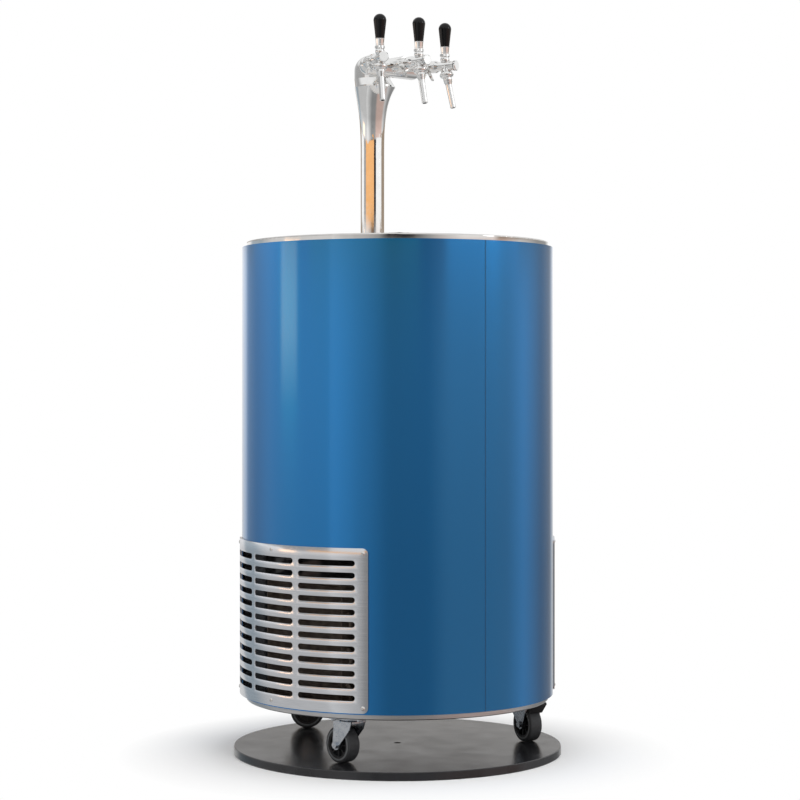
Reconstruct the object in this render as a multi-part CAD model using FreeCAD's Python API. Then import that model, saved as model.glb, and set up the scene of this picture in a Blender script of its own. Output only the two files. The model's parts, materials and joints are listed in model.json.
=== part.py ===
"""Mobile beer cooler on casters: a round blue cabinet with a cooling unit and a three-tap tower.

Millimetres, +Z up, taps towards -Y. The origin is the centre of the underside of the round floor board.
Angles in plan are in degrees from +X, turning towards +Y.
"""

import FreeCAD, Part
import math
import os

V = FreeCAD.Vector
UP = V(0, 0, 1)

# Clearances
REST_GAP = 0.3  # between pieces that only rest on each other or pass close by
SHAFT_GAP = 0.05  # on the radius, between a shaft and its bore
DOOR_GAP = 2.0  # all round the service door

# Floor board under the casters
BOARD_OVERHANG = 18.0  # beyond the skin
BOARD_THICKNESS = 18.0
BOARD_HOLE = 16.0
BOARD_EDGE_ROUND = 1.5

# Casters
CASTER_HEIGHT = 102.0
CASTER_INSET = 63.0  # from the skin to the circle that the three swivels stand on
CASTER_TRAIL = 28.0
CASTER_ANGLE = {"front_left": 210.0, "front_right": 330.0, "rear": 90.0}
TRAIL_ANGLE = {"front_left": 92.0, "front_right": 258.0, "rear": 140.0}
BRAKED = ("front_right", "rear")
WHEEL_DIAMETER = 77.0
WHEEL_WIDTH = 31.0
TYRE_DEPTH = 9.0
TYRE_ROUND = 4.0
HUB_RADIUS = 11.0
WEB_THICKNESS = 12.0
FORK_PLATE = 3.0
FORK_SIDE_GAP = 1.8  # between tyre and fork leg
SWIVEL_RADIUS = 27.0
SWIVEL_HEIGHT = 7.0
AXLE_RADIUS = 4.0
NUT_RADIUS = 7.5
NUT_HEIGHT = 5.0
MOUNT_PLATE = 78.0
MOUNT_PLATE_THICKNESS = 3.0
MOUNT_CORNER = 8.0
FORK_BACK = 22.0  # from the swivel to the fork's rear edge
FORK_FRONT = 36.0
FORK_FRONT_BRAKED = 54.0
FORK_CHEEK = 17.0  # depth of the fork below its crown before its legs taper
FORK_BOSS = 10.5
PEDAL_PIN_RADIUS = 2.5
PEDAL_REACH = 83.0
PEDAL_PIN_OUT = 45.0
PEDAL_PIN_DROP = 23.3  # below the pan's underside

# Cabinet
SKIN_RADIUS = 345.0
SKIN_THICKNESS = 1.5
SKIN_HEM = 20.0
PAN_INSET = 10.0
PAN_HEIGHT = 12.0
PAN_THICKNESS = 2.5
POST_SIZE = 25.0
POST_WALL = 2.0
POST_INSET = 36.0  # from the skin to the posts' middles
POST_ANGLES = (45.0, 135.0, 225.0, 315.0)
RING_WIDTH = 36.0
RING_THICKNESS = 3.0
RING_PLAY = 1.0  # between the top ring and the skin
SHELF_HEIGHT = 400.0  # above the pan's underside
SHELF_THICKNESS = 3.0
SHELF_EDGE = 30.0  # beyond the bath's insulation

# Worktop
TOP_INSET = 10.0
TOP_RISE = 12.0
TOP_SHEET = 2.0
TOP_RIM_WIDTH = 9.0
TOP_DISH = 8.0
TRAY_LENGTH = 300.0
TRAY_WIDTH = 150.0
TRAY_HEIGHT = 16.0
TRAY_CENTRE_Y = -105.0
TRAY_CORNER = 20.0
TRAY_LIP = 5.0
TRAY_STEP = 6.0  # width of the ledge that carries the grid
TRAY_WALL = 1.2
GRID_PLAY = 1.5
GRID_SHEET = 2.0
GRID_MARGIN = 18.0
GRID_SLOTS = 13
GRID_SLOT_WIDTH = 9.0

# Ventilation grilles, on both sides
GRILLE_MIDDLES = {"left": 180.0, "right": 0.0}  # in plan
GRILLE_ANGLE = 80.0
GRILLE_HEIGHT = 342.0
GRILLE_FOOT = 3.0  # above the skin's lower edge
GRILLE_STAND = 5.0
GRILLE_SHEET = 1.5
GRILLE_CORNER = 12.0
SLOT_COLUMNS = 3
SLOT_ROWS = 12
SLOT_ANGLE = 22.0
SLOT_WIDTH = 12.0
SLOT_PITCH = 25.4
COLUMN_GAP_ANGLE = 2.4
WINDOW_MARGIN = 22.0  # from the grille's edge to the window in the skin
SCREW_HEAD_RADIUS = 4.5
SCREW_HEAD_HEIGHT = 2.4
SCREW_EDGE = 11.0

# Service door at the back
DOOR_MIDDLE = 90.0  # in plan
DOOR_ANGLE = 60.0
DOOR_FOOT = 450.0  # above the skin's lower edge
DOOR_HEIGHT = 440.0
DOOR_DEPTH = 14.0
DOOR_SHEET = 1.5
HINGE_STAND = 6.0
HINGE_BARREL = 5.0
HINGE_PIN = 2.5
HINGE_LENGTH = 56.0
HINGE_INSET = 60.0
HINGE_LEAF_ANGLE = 4.0
HINGE_LEAF = 1.5
HINGE_SPLIT_ANGLE = 0.4  # between the hinge line and each leaf
KNOB_STAND = 15.0
DOOR_KNOB_RADIUS = 15.0

# Tower
COLUMN_Y = 88.0
COLUMN_RADIUS = 26.4
COLUMN_BORE = 20.0
FOOT_RADIUS = 42.0
FOOT_THICKNESS = 4.0
COLLAR_RADIUS = 29.0
COLLAR_HEIGHT = 15.0
LIP_HEIGHT = 353.0  # above the worktop's rim
LIP_THICKNESS = 3.0
LIP_RADIUS = 45.3
LIP_SHIFT = 9.3  # forward
FLARE_LENGTH = 163.0  # from the straight column up to the lip
FLARE_POWER = 3.3  # how late the flare widens
LEAN_POWER = 6.8  # how late it leans forward
FLARE_RINGS = 9
HEAD_RADIUS = 40.5
HEAD_RISE = 70.0
HEAD_ROUND = 34.0
CONE_RISE = 17.0
BAR_RADIUS = 21.0
BAR_DROP = 4.0  # centre line of the bar, below the taps' axes
TAP_RISE = 43.0  # of the taps' axes, above the lip
BAR_Y = 25.0
BAR_HALF = 62.0

# Taps: distances forward from the bar's middle
TAPS = {"left": (-1, 22.5), "centre": (0, 0.0), "right": (1, -22.5)}
TAP_REACH = 84.0
CENTRE_EXTRA = 14.0
TAP_SEAT = 23.0
TAP_BOSS_RADIUS = 17.0
TAP_NOSE = 30.0
NUT_FLAT = 31.0
TAP_NUT_LENGTH = 15.0
TAP_FLANGE_EXTRA = 3.5  # beyond the tap's body
TAP_FLANGE_LENGTH = 7.0
SHANK_RADIUS = 10.0
BODY_RADIUS = 13.5
NOSE_RADIUS = 10.4
NOSE_CAP_RADIUS = 11.4
BALL_RADIUS = 10.3
BALL_RISE = 14.5  # centre of the ball above the tap's axis
LEVER_NUT_RADIUS = 10.6
LEVER_NUT = (6.0, 13.0)
FERRULE_TOP = 28.5
FERRULE_RADII = (8.6, 9.7)
KNOB_HEIGHT = 54.0
KNOB_RADIUS = 14.2
KNOB_FOOT_RADIUS = 9.9
SPOUT_LEAN = 12.4
SPOUT_SEAT_LENGTH = 24.0
SPOUT_DROP = 94.0  # tip below the tap's axis
SPOUT_RADII = (9.8, 7.0, 6.2)
SPOUT_BORE = 4.6
SPOUT_BOSS = 13.5
SPOUT_BULGE = 15.6
SPOUT_BULGE_LENGTH = 13.0
FLOW_BOSS_RADIUS = 7.5
FLOW_BOSS_OUT = 16.5
FLOW_PIN = 3.0
FLOW_PIN_DEPTH = 7.0
FLOW_DISC = 4.0
FLOW_REACH = 38.0
FLOW_LEAN = 28.0

# Water bath
BATH_INSET = 62.0  # from the skin to the insulation
BATH_FOAM = 28.0
BATH_HEIGHT = 470.0
BATH_HEADROOM = 125.0  # from the lid's seat to the skin's top
BATH_LINER = 1.2
LID_THICKNESS = 22.0
BEER_COIL_INSETS = (50.0, 77.0, 104.0)  # from the tank's wall
BEER_TUBE = 9.0
EVAPORATOR_INSET = 19.0
EVAPORATOR_TUBE = 8.0
COIL_HEIGHT = 260.0
AGITATOR_SHAFT = 4.0
AGITATOR_DROP = 330.0
AGITATOR_MOTOR_RADIUS = 34.0
AGITATOR_MOTOR_HEIGHT = 58.0
AGITATOR_GRIP = 29.0  # length of shaft inside the motor
AGITATOR_BLADE = 46.0
LINE_RADIUS = 4.8
LINE_PITCH = 12.0

# Cooling unit in the foot of the cabinet
COMPRESSOR_RADIUS = 80.0
COMPRESSOR_HEIGHT = 175.0
COMPRESSOR_X = 95.0
COMPRESSOR_PLATE = 190.0
COMPRESSOR_FOOT_HEIGHT = 12.0
CONDENSER_SIZE = (56.0, 300.0, 270.0)
CONDENSER_INSET = 83.0  # from the skin to the condenser's face
CONDENSER_FINS = 24
CONDENSER_GROOVE = 22.0
CONDENSER_EDGE = 12.0
FAN_RADIUS = 112.0
FAN_BLADES = 5
SHROUD_DEPTH = 40.0
FAN_MOTOR_RADIUS = 32.0
FAN_MOTOR_LENGTH = 60.0
FAN_SHAFT = 4.0
FAN_SHAFT_LENGTH = 30.0
FAN_HUB_RADIUS = 22.0
FAN_HUB_LENGTH = 20.0
FAN_CHORD = 68.0
FAN_PITCH = 72.0  # blade angle from the shaft

# Controls and connections at the back
THERMOSTAT_SIZE = (84.0, 26.0, 110.0)
THERMOSTAT_X = -60.0
THERMOSTAT_HEIGHT = 242.0  # above the door's foot
SPINDLE_RADIUS = 3.0
SPINDLE_LENGTH = 6.0
DIAL_RADIUS = 19.0
DIAL_DEPTH = 14.0
SPINDLE_RISE = 18.0
INLET_ANGLES = (80.0, 90.0, 100.0)  # in plan
INLET_HEIGHT = 330.0  # above the skin's lower edge
INLET_RADIUS = 11.3
INLET_LENGTH = 14.0
INLET_FLANGE = (17.0, 3.0)
INLET_TAIL = 22.0  # behind the skin
INLET_TAIL_RADIUS = 8.0
INLET_BORE = 4.0
SOCKET_ANGLE = 90.0
SOCKET_HEIGHT = 80.0
SOCKET_SIZE = (46.0, 30.0)

# Radii and heights that follow from the sizes above
BOARD_RADIUS = SKIN_RADIUS + BOARD_OVERHANG
CASTER_CIRCLE = SKIN_RADIUS - CASTER_INSET
POST_CIRCLE = SKIN_RADIUS - POST_INSET
BATH_RADIUS = SKIN_RADIUS - BATH_INSET
TANK_RADIUS = BATH_RADIUS - BATH_FOAM
CONDENSER_X = CONDENSER_INSET - SKIN_RADIUS
FLOOR_Z = BOARD_THICKNESS + REST_GAP
PAN_Z = FLOOR_Z + CASTER_HEIGHT
SKIN_Z = PAN_Z + PAN_HEIGHT
SHELF_Z = PAN_Z + SHELF_HEIGHT
BATH_Z = SHELF_Z + SHELF_THICKNESS
LID_Z = BATH_Z + BATH_HEIGHT
SKIN_TOP_Z = LID_Z + BATH_HEADROOM
SKIN_HEIGHT = SKIN_TOP_Z - SKIN_Z
RIM_Z = SKIN_TOP_Z + TOP_RISE
DECK_Z = RIM_Z - TOP_DISH
LIP_Z = RIM_Z + LIP_HEIGHT
TAP_Z = LIP_Z + TAP_RISE
FLOW_PIVOT = TAP_SEAT + TAP_NUT_LENGTH + FLOW_BOSS_RADIUS + REST_GAP
HEAD_Z = LIP_Z + LIP_THICKNESS
AXLE_Z = FLOOR_Z + WHEEL_DIAMETER / 2
FORK_TOP_Z = PAN_Z - MOUNT_PLATE_THICKNESS - SWIVEL_HEIGHT - REST_GAP


def polar(radius, angle, z=0.0):
    """Point at a radius and an angle in plan."""
    return V(radius * math.cos(math.radians(angle)), radius * math.sin(math.radians(angle)), z)


def cylinder(radius, length, foot, axis=UP):
    return Part.makeCylinder(radius, length, foot, axis)


def pipe(outer, inner, length, foot, axis=UP):
    return cylinder(outer, length, foot, axis).cut(cylinder(inner, length, foot, axis))


def block(x, y, z):
    """Box between pairs of limits."""
    return Part.makeBox(x[1] - x[0], y[1] - y[0], z[1] - z[0], V(x[0], y[0], z[0]))


def face_of(points):
    """Face inside a closed outline: a pair is a corner, and a pair of pairs is an arc's middle and end."""
    edges = []
    here = points[0]
    for item in points[1:] + [points[0]]:
        is_arc = isinstance(item[0], tuple)
        end = item[1] if is_arc else item
        if is_arc:
            middle = V(item[0][0], 0, item[0][1])
            edges.append(Part.Arc(V(here[0], 0, here[1]), middle, V(end[0], 0, end[1])).toShape())
        elif math.dist(here, end) > 1e-6:
            edges.append(Part.makeLine(V(here[0], 0, here[1]), V(end[0], 0, end[1])))
        here = end
    return Part.Face(Part.Wire(edges))


def turned(points, foot=V(0, 0, 0)):
    """Solid of revolution about +Z from (radius, height) points."""
    solid = face_of(points).revolve(V(0, 0, 0), UP, 360)
    solid.translate(foot)
    return solid


def dome(radius, z, rise):
    """Arc item for an outline: a round cap from a radius and height up to the axis."""
    ball = (radius * radius + rise * rise) / (2 * rise)
    half = math.asin(min(1.0, radius / ball)) / 2
    return (ball * math.sin(half), z + rise - ball * (1 - math.cos(half))), (0, z + rise)


def plate_side(points, y0, y1):
    """Plate standing in the XZ plane, between two Y limits."""
    solid = face_of(points).extrude(V(0, y1 - y0, 0))
    solid.translate(V(0, y0, 0))
    return solid


def arc_block(inner, outer, start, end, z0, z1):
    """Part of a ring between two angles and two heights."""
    middle = (start + end) / 2
    near = Part.Arc(polar(inner, start, z0), polar(inner, middle, z0), polar(inner, end, z0)).toShape()
    far = Part.Arc(polar(outer, end, z0), polar(outer, middle, z0), polar(outer, start, z0)).toShape()
    sides = [Part.makeLine(polar(inner, end, z0), polar(outer, end, z0)),
             Part.makeLine(polar(outer, start, z0), polar(inner, start, z0))]
    return Part.Face(Part.Wire([near, sides[0], far, sides[1]])).extrude(V(0, 0, z1 - z0))


def along(shape, angle, foot):
    """Turns a shape made along +X to a plan angle and carries it to a point."""
    moved = shape.copy()
    moved.rotate(V(0, 0, 0), UP, angle)
    moved.translate(foot)
    return moved


def laid(shape):
    """Turns a shape made along +Z to lie along +X."""
    moved = shape.copy()
    moved.rotate(V(0, 0, 0), V(0, 1, 0), 90)
    return moved


def round_edges(shape, radius, test):
    """Rounds the edges for which the test is true."""
    return shape.makeFillet(radius, [e for e in shape.Edges if test(e)])


def stands_up(edge):
    return abs(edge.tangentAt(edge.FirstParameter).z) > 0.9


def is_circle_at(edge, radius, z):
    curve = edge.Curve
    is_round = isinstance(curve, Part.Circle) and abs(curve.Radius - radius) < 0.01
    return is_round and abs(edge.CenterOfMass.z - z) < 0.01


# Floor board


def floor_board():
    radius = BOARD_RADIUS
    soft = BOARD_EDGE_ROUND
    top = BOARD_THICKNESS
    board = turned([(0, 0), (radius - soft, 0), (radius, soft), (radius, top - soft),
                    (radius - soft, top), (0, top)])
    return board.cut(cylinder(BOARD_HOLE / 2, top, V(0, 0, 0)))


# Casters, made round a swivel on the Z axis with the wheel trailing along +X


def caster_mount():
    half = MOUNT_PLATE / 2
    plate = block((-half, half), (-half, half), (PAN_Z - MOUNT_PLATE_THICKNESS, PAN_Z))
    plate = round_edges(plate, MOUNT_CORNER, stands_up)
    race_z = PAN_Z - MOUNT_PLATE_THICKNESS - SWIVEL_HEIGHT
    race = turned([(0, race_z), (SWIVEL_RADIUS - 3, race_z), (SWIVEL_RADIUS, race_z + 3),
                   (SWIVEL_RADIUS, race_z + SWIVEL_HEIGHT), (0, race_z + SWIVEL_HEIGHT)])
    return plate.fuse(race)


def leg_outline(braked):
    crown = FORK_FRONT_BRAKED if braked else FORK_FRONT
    low = FORK_TOP_Z - FORK_CHEEK
    boss = FORK_BOSS
    return [(-FORK_BACK, FORK_TOP_Z), (crown, FORK_TOP_Z), (crown - 1, low), (CASTER_TRAIL + boss, AXLE_Z),
            ((CASTER_TRAIL, AXLE_Z - boss), (CASTER_TRAIL - boss, AXLE_Z)), (6 - FORK_BACK, low)]


def caster_fork(braked):
    inner = WHEEL_WIDTH / 2 + FORK_SIDE_GAP
    outer = inner + FORK_PLATE
    low = FORK_TOP_Z - FORK_PLATE
    crown = block((-FORK_BACK, FORK_FRONT), (-inner, inner), (low, FORK_TOP_Z))
    fork = crown.fuse(cylinder(SWIVEL_RADIUS - 1, FORK_PLATE, V(0, 0, low)))
    for side in (-1, 1):
        y0, y1 = sorted((side * inner, side * outer))
        fork = fork.fuse(plate_side(leg_outline(braked), y0, y1))
    axle_foot = V(CASTER_TRAIL, -outer - NUT_HEIGHT, AXLE_Z)
    fork = fork.cut(cylinder(AXLE_RADIUS, 2 * outer, V(CASTER_TRAIL, -outer, AXLE_Z), V(0, 1, 0)))
    axle = cylinder(AXLE_RADIUS, 2 * (outer + NUT_HEIGHT), axle_foot, V(0, 1, 0))
    for y in (-outer - NUT_HEIGHT, outer):
        axle = axle.fuse(hexagon(NUT_RADIUS, NUT_HEIGHT, V(CASTER_TRAIL, y, AXLE_Z), V(0, 1, 0)))
    pieces = [fork.removeSplitter(), axle.removeSplitter()]
    if braked:
        pin_z = PAN_Z - PEDAL_PIN_DROP
        pin_at = V(PEDAL_PIN_OUT, -outer, pin_z)
        pieces[0] = pieces[0].cut(cylinder(PEDAL_PIN_RADIUS, 2 * outer, pin_at, V(0, 1, 0)))
        pieces.append(cylinder(PEDAL_PIN_RADIUS, 2 * outer, pin_at, V(0, 1, 0)))
    return Part.makeCompound(pieces)


def hexagon(radius, height, foot, axis=UP):
    """Nut or hexagonal bar with a given corner radius."""
    points = [polar(radius, 60 * i) for i in range(7)]
    bar = Part.Face(Part.makePolygon(points)).extrude(V(0, 0, height))
    bar.Placement = FreeCAD.Placement(foot, FreeCAD.Rotation(UP, axis))
    return bar


def wheel_profile_turned(points):
    """Turns a wheel's (radius, half width) profile about its axle, which lies along Y."""
    solid = turned(points)
    solid.rotate(V(0, 0, 0), V(1, 0, 0), 90)
    solid.translate(V(CASTER_TRAIL, 0, AXLE_Z))
    return solid


def caster_wheel():
    rim = WHEEL_DIAMETER / 2 - TYRE_DEPTH
    half = WHEEL_WIDTH / 2
    web = WEB_THICKNESS / 2
    hub = half + FORK_SIDE_GAP - REST_GAP
    bore = AXLE_RADIUS + SHAFT_GAP
    edge = half - 1
    return wheel_profile_turned([
        (bore, -hub), (HUB_RADIUS, -hub), (HUB_RADIUS, -web), (rim - 3, -web), (rim - 3, -edge), (rim, -edge),
        (rim, edge), (rim - 3, edge), (rim - 3, web), (HUB_RADIUS, web), (HUB_RADIUS, hub), (bore, hub)])


def caster_tyre():
    rim = WHEEL_DIAMETER / 2 - TYRE_DEPTH
    tread = WHEEL_DIAMETER / 2
    half = WHEEL_WIDTH / 2
    soft = TYRE_ROUND
    mid = soft * (1 - math.sqrt(0.5))
    return wheel_profile_turned([
        (rim, -half), (tread - soft, -half), ((tread - mid, mid - half), (tread, soft - half)),
        (tread, half - soft), ((tread - mid, half - mid), (tread - soft, half)), (rim, half)])


def brake_pedal():
    """Hooded foot lever over the wheel, hung on its pin."""
    inner = WHEEL_WIDTH / 2 + FORK_SIDE_GAP - 1.0
    high = FORK_TOP_Z
    top = high - FORK_PLATE - 2.6
    reach = PEDAL_REACH
    pin_z = PAN_Z - PEDAL_PIN_DROP
    pedal = plate_side([(37, top - 5), (40, top), (56, top), (60, high), (reach - 2, high),
                        (reach, high - 4), (63, high - 25), (55, high - 17.5)], -inner, inner)
    bore = cylinder(PEDAL_PIN_RADIUS + SHAFT_GAP, 4 * inner, V(PEDAL_PIN_OUT, -2 * inner, pin_z), V(0, 1, 0))
    return pedal.cut(bore)


def caster_pieces():
    pieces = {}
    mounts = []
    for place, angle in CASTER_ANGLE.items():
        at = polar(CASTER_CIRCLE, angle)
        trail = TRAIL_ANGLE[place]
        braked = place in BRAKED
        mounts.append(along(caster_mount(), angle, at))
        pieces["caster_fork_" + place] = along(caster_fork(braked), trail, at)
        pieces["caster_wheel_" + place] = along(caster_wheel(), trail, at)
        pieces["caster_tyre_" + place] = along(caster_tyre(), trail, at)
        if braked:
            pieces["brake_pedal_" + place] = along(brake_pedal(), trail, at)
    pieces["caster_mounts"] = Part.makeCompound(mounts)
    return pieces


# Cabinet


def base_pan():
    """Shallow dish with an upright rim, which carries the skin."""
    outer = SKIN_RADIUS - PAN_INSET
    sheet = PAN_THICKNESS
    return turned([(0, 0), (outer - 2, 0), (outer, 2), (outer, PAN_HEIGHT), (outer - 6, PAN_HEIGHT),
                   (outer - 6, sheet), (0, sheet)], V(0, 0, PAN_Z))


def window_angle():
    return GRILLE_ANGLE - 2 * math.degrees(WINDOW_MARGIN / SKIN_RADIUS)


def body_skin():
    """Rolled shell with hems at both ends, a window behind each grille and the service door's opening."""
    inner = SKIN_RADIUS - SKIN_THICKNESS
    hem = SKIN_RADIUS - SKIN_HEM
    sheet = SKIN_THICKNESS
    top = SKIN_HEIGHT
    shell = turned([(hem, 0), (SKIN_RADIUS, 0), (SKIN_RADIUS, top), (hem, top), (hem, top - sheet),
                    (inner, top - sheet), (inner, sheet), (hem, sheet)], V(0, 0, SKIN_Z))
    half = window_angle() / 2
    z0 = SKIN_Z + GRILLE_FOOT + WINDOW_MARGIN
    z1 = SKIN_Z + GRILLE_FOOT + GRILLE_HEIGHT - WINDOW_MARGIN
    near, far = SKIN_RADIUS - 10, SKIN_RADIUS + 10
    for middle in GRILLE_MIDDLES.values():
        shell = shell.cut(arc_block(near, far, middle - half, middle + half, z0, z1))
    z0 = SKIN_Z + DOOR_FOOT
    half = DOOR_ANGLE / 2
    shell = shell.cut(arc_block(near, far, DOOR_MIDDLE - half, DOOR_MIDDLE + half, z0, z0 + DOOR_HEIGHT))
    for angle in INLET_ANGLES:
        at = polar(near, angle, SKIN_Z + INLET_HEIGHT)
        shell = shell.cut(cylinder(INLET_RADIUS, far - near, at, polar(1, angle)))
    return shell.cut(socket_block(SOCKET_SIZE[0], SOCKET_SIZE[1], near, far))


def socket_block(width, height, near, far):
    z = SKIN_Z + SOCKET_HEIGHT
    box = block((near, far), (-width / 2, width / 2), (z - height / 2, z + height / 2))
    return along(box, SOCKET_ANGLE, V(0, 0, 0))


def inner_frame():
    """Welded frame: four square posts from the pan to a top ring, with the shelf that carries the bath."""
    foot = PAN_Z + PAN_THICKNESS
    ring_top = SKIN_TOP_Z - SKIN_THICKNESS
    outer = SKIN_RADIUS - SKIN_THICKNESS - RING_PLAY
    frame = pipe(outer, outer - RING_WIDTH, RING_THICKNESS, V(0, 0, ring_top - RING_THICKNESS))
    frame = frame.fuse(cylinder(BATH_RADIUS + SHELF_EDGE, SHELF_THICKNESS, V(0, 0, SHELF_Z)))
    half = POST_SIZE / 2
    bore = half - POST_WALL
    for angle in POST_ANGLES:
        tube = block((-half, half), (-half, half), (foot, ring_top - RING_THICKNESS))
        tube = tube.cut(block((-bore, bore), (-bore, bore), (foot, SHELF_Z)))
        tube = tube.cut(block((-bore, bore), (-bore, bore), (BATH_Z, ring_top - RING_THICKNESS)))
        frame = frame.fuse(along(tube, angle, polar(POST_CIRCLE, angle)))
    return frame


def worktop():
    """Pressed sheet: skirt, rounded rim and a dished deck with a hole under the column."""
    outer = SKIN_RADIUS - TOP_INSET
    sheet = TOP_SHEET
    rim = outer - TOP_RIM_WIDTH
    soft = 3.0
    bend = soft * (1 - math.sqrt(0.5))
    low = DECK_Z - RIM_Z
    top = turned([(0, low), (rim - 6, low), (rim, 0), (outer - soft, 0),
                  ((outer - bend, -bend), (outer, -soft)), (outer, -TOP_RISE), (outer - sheet, -TOP_RISE),
                  (outer - sheet, -soft - 1), (rim - 4, -soft - 1), (rim - 7, low - sheet), (0, low - sheet)],
                 V(0, 0, RIM_Z))
    return top.cut(cylinder(COLUMN_BORE + 1, 4 * sheet, V(0, COLUMN_Y, DECK_Z - 2 * sheet)))


def tray_block(inset, z0, z1):
    """Block in the tray's rounded outline, drawn in by an inset."""
    half = TRAY_WIDTH / 2 - inset
    reach = TRAY_LENGTH / 2 - inset
    box = block((-reach, reach), (TRAY_CENTRE_Y - half, TRAY_CENTRE_Y + half), (z0, z1))
    return round_edges(box, TRAY_CORNER - inset, stands_up)


def drip_tray():
    """Pan that stands on the deck, with a lip outside its rim and a ledge inside for the grid."""
    top = DECK_Z + TRAY_HEIGHT
    ledge = top - GRID_SHEET
    wall = TRAY_WALL
    pan = tray_block(TRAY_STEP, DECK_Z, ledge).fuse(tray_block(0, ledge - wall, top))
    pan = pan.fuse(tray_block(-TRAY_LIP, top - wall, top))
    hollow = tray_block(TRAY_STEP + wall, DECK_Z + wall, top).fuse(tray_block(wall, ledge, top))
    return pan.cut(hollow)


def drip_grid():
    """Slotted plate that lies on the tray's ledge."""
    edge = TRAY_WALL + GRID_PLAY
    top = DECK_Z + TRAY_HEIGHT
    grid = tray_block(edge, top - GRID_SHEET, top)
    half = TRAY_WIDTH / 2 - edge - GRID_MARGIN
    pitch = (TRAY_LENGTH - 2 * edge - 2 * GRID_MARGIN) / GRID_SLOTS
    wide = GRID_SLOT_WIDTH / 2
    for i in range(GRID_SLOTS):
        x = (i - (GRID_SLOTS - 1) / 2) * pitch
        slot = block((x - wide, x + wide), (TRAY_CENTRE_Y - half, TRAY_CENTRE_Y + half),
                     (top - 2 * GRID_SHEET, top + GRID_SHEET))
        grid = grid.cut(round_edges(slot, wide - 0.01, stands_up))
    return grid


# Grilles


def grille(middle):
    """Shallow pressed cover bent round the cabinet, with three columns of round-ended slots."""
    near = SKIN_RADIUS
    outer = near + GRILLE_STAND
    half = GRILLE_ANGLE / 2
    z0 = SKIN_Z + GRILLE_FOOT
    z1 = z0 + GRILLE_HEIGHT
    wall = GRILLE_SHEET
    hem = 3 * wall
    hem_angle = math.degrees(hem / near)
    cover = arc_block(near, outer, -half, half, z0, z1)
    corner = math.degrees(GRILLE_CORNER / outer)
    for side in (-1, 1):
        for z, away in ((z0, 1), (z1, -1)):
            centre = V(0, 0, z + away * GRILLE_CORNER)
            square = block((near - 5, outer + 5), (0, 30), (-GRILLE_CORNER - 5, 0))
            rounding = square.cut(cylinder(GRILLE_CORNER, 60, V(near - 20, 0, 0), V(1, 0, 0)))
            if side < 0:
                rounding = rounding.mirror(V(0, 0, 0), V(0, 1, 0))
            if away < 0:
                rounding = rounding.mirror(V(0, 0, 0), V(0, 0, 1))
            cover = cover.cut(along(rounding, side * (half - corner), centre))
    hollow = arc_block(near - 1, outer - wall, hem_angle - half, half - hem_angle, z0 + hem, z1 - hem)
    cover = cover.cut(hollow).cut(Part.makeCompound(grille_slots(z0)))
    return along(cover, middle, V(0, 0, 0))


def grille_slots(z0):
    """Cutters for the slots, each a round-ended bar pushed through along its own column's radius."""
    outer = SKIN_RADIUS + GRILLE_STAND
    reach = outer * math.sin(math.radians(SLOT_ANGLE / 2)) - SLOT_WIDTH / 2
    half = SLOT_WIDTH / 2
    depth = 60.0
    first = z0 + (GRILLE_HEIGHT - (SLOT_ROWS - 1) * SLOT_PITCH) / 2
    corners = [V(0, -reach, half), V(0, -reach, -half), V(0, reach, -half), V(0, reach, half)]
    outline = [Part.Arc(corners[0], V(0, -reach - half, 0), corners[1]).toShape(),
               Part.makeLine(corners[1], corners[2]),
               Part.Arc(corners[2], V(0, reach + half, 0), corners[3]).toShape(),
               Part.makeLine(corners[3], corners[0])]
    bar = Part.Face(Part.Wire(outline)).extrude(V(depth, 0, 0))
    cutters = []
    for column in range(SLOT_COLUMNS):
        middle = (column - (SLOT_COLUMNS - 1) / 2) * (SLOT_ANGLE + COLUMN_GAP_ANGLE)
        for row in range(SLOT_ROWS):
            at = polar(outer - depth + 10, middle, first + row * SLOT_PITCH)
            cutters.append(along(bar, middle, at))
    return cutters


def screw_places():
    """Angle from the grille's middle and height of each screw: three along each long edge."""
    side = GRILLE_ANGLE / 2 - math.degrees(SCREW_EDGE / SKIN_RADIUS)
    low = SKIN_Z + GRILLE_FOOT + SCREW_EDGE
    high = low + GRILLE_HEIGHT - 2 * SCREW_EDGE
    return [(angle, z) for angle in (-side, 0, side) for z in (low, high)]


def grille_screws():
    """Domed heads, all alike, seated on both grilles."""
    radius, height = SCREW_HEAD_RADIUS, SCREW_HEAD_HEIGHT
    head = laid(turned([(0, 0), (radius, 0), dome(radius, 0, height)]))
    seat = SKIN_RADIUS + GRILLE_STAND
    return Part.makeCompound([along(head, middle + angle, polar(seat, middle + angle, z))
                              for middle in GRILLE_MIDDLES.values() for angle, z in screw_places()])


# Service door


def door_limits():
    gap_angle = math.degrees(DOOR_GAP / SKIN_RADIUS)
    half = DOOR_ANGLE / 2 - gap_angle
    z0 = SKIN_Z + DOOR_FOOT + DOOR_GAP
    return DOOR_MIDDLE - half, DOOR_MIDDLE + half, z0, z0 + DOOR_HEIGHT - 2 * DOOR_GAP


def service_door():
    """Curved leaf with returned edges, and the upper halves of its hinges welded on."""
    low, high, z0, z1 = door_limits()
    inner = SKIN_RADIUS - DOOR_DEPTH
    sheet = DOOR_SHEET
    edge = math.degrees(sheet / SKIN_RADIUS)
    leaf = arc_block(inner, SKIN_RADIUS, low, high, z0, z1)
    hollow = arc_block(inner - 1, SKIN_RADIUS - sheet, low + edge, high - edge, z0 + sheet, z1 - sheet)
    leaf = leaf.cut(hollow)
    for half in door_hinge_halves():
        leaf = leaf.fuse(half)
    return leaf


def hinge_axis():
    """Angle and radius of the door's hinge line, in the gap on the right."""
    gap_angle = math.degrees(DOOR_GAP / 2 / SKIN_RADIUS)
    return DOOR_MIDDLE - DOOR_ANGLE / 2 + gap_angle, SKIN_RADIUS + HINGE_STAND


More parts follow.
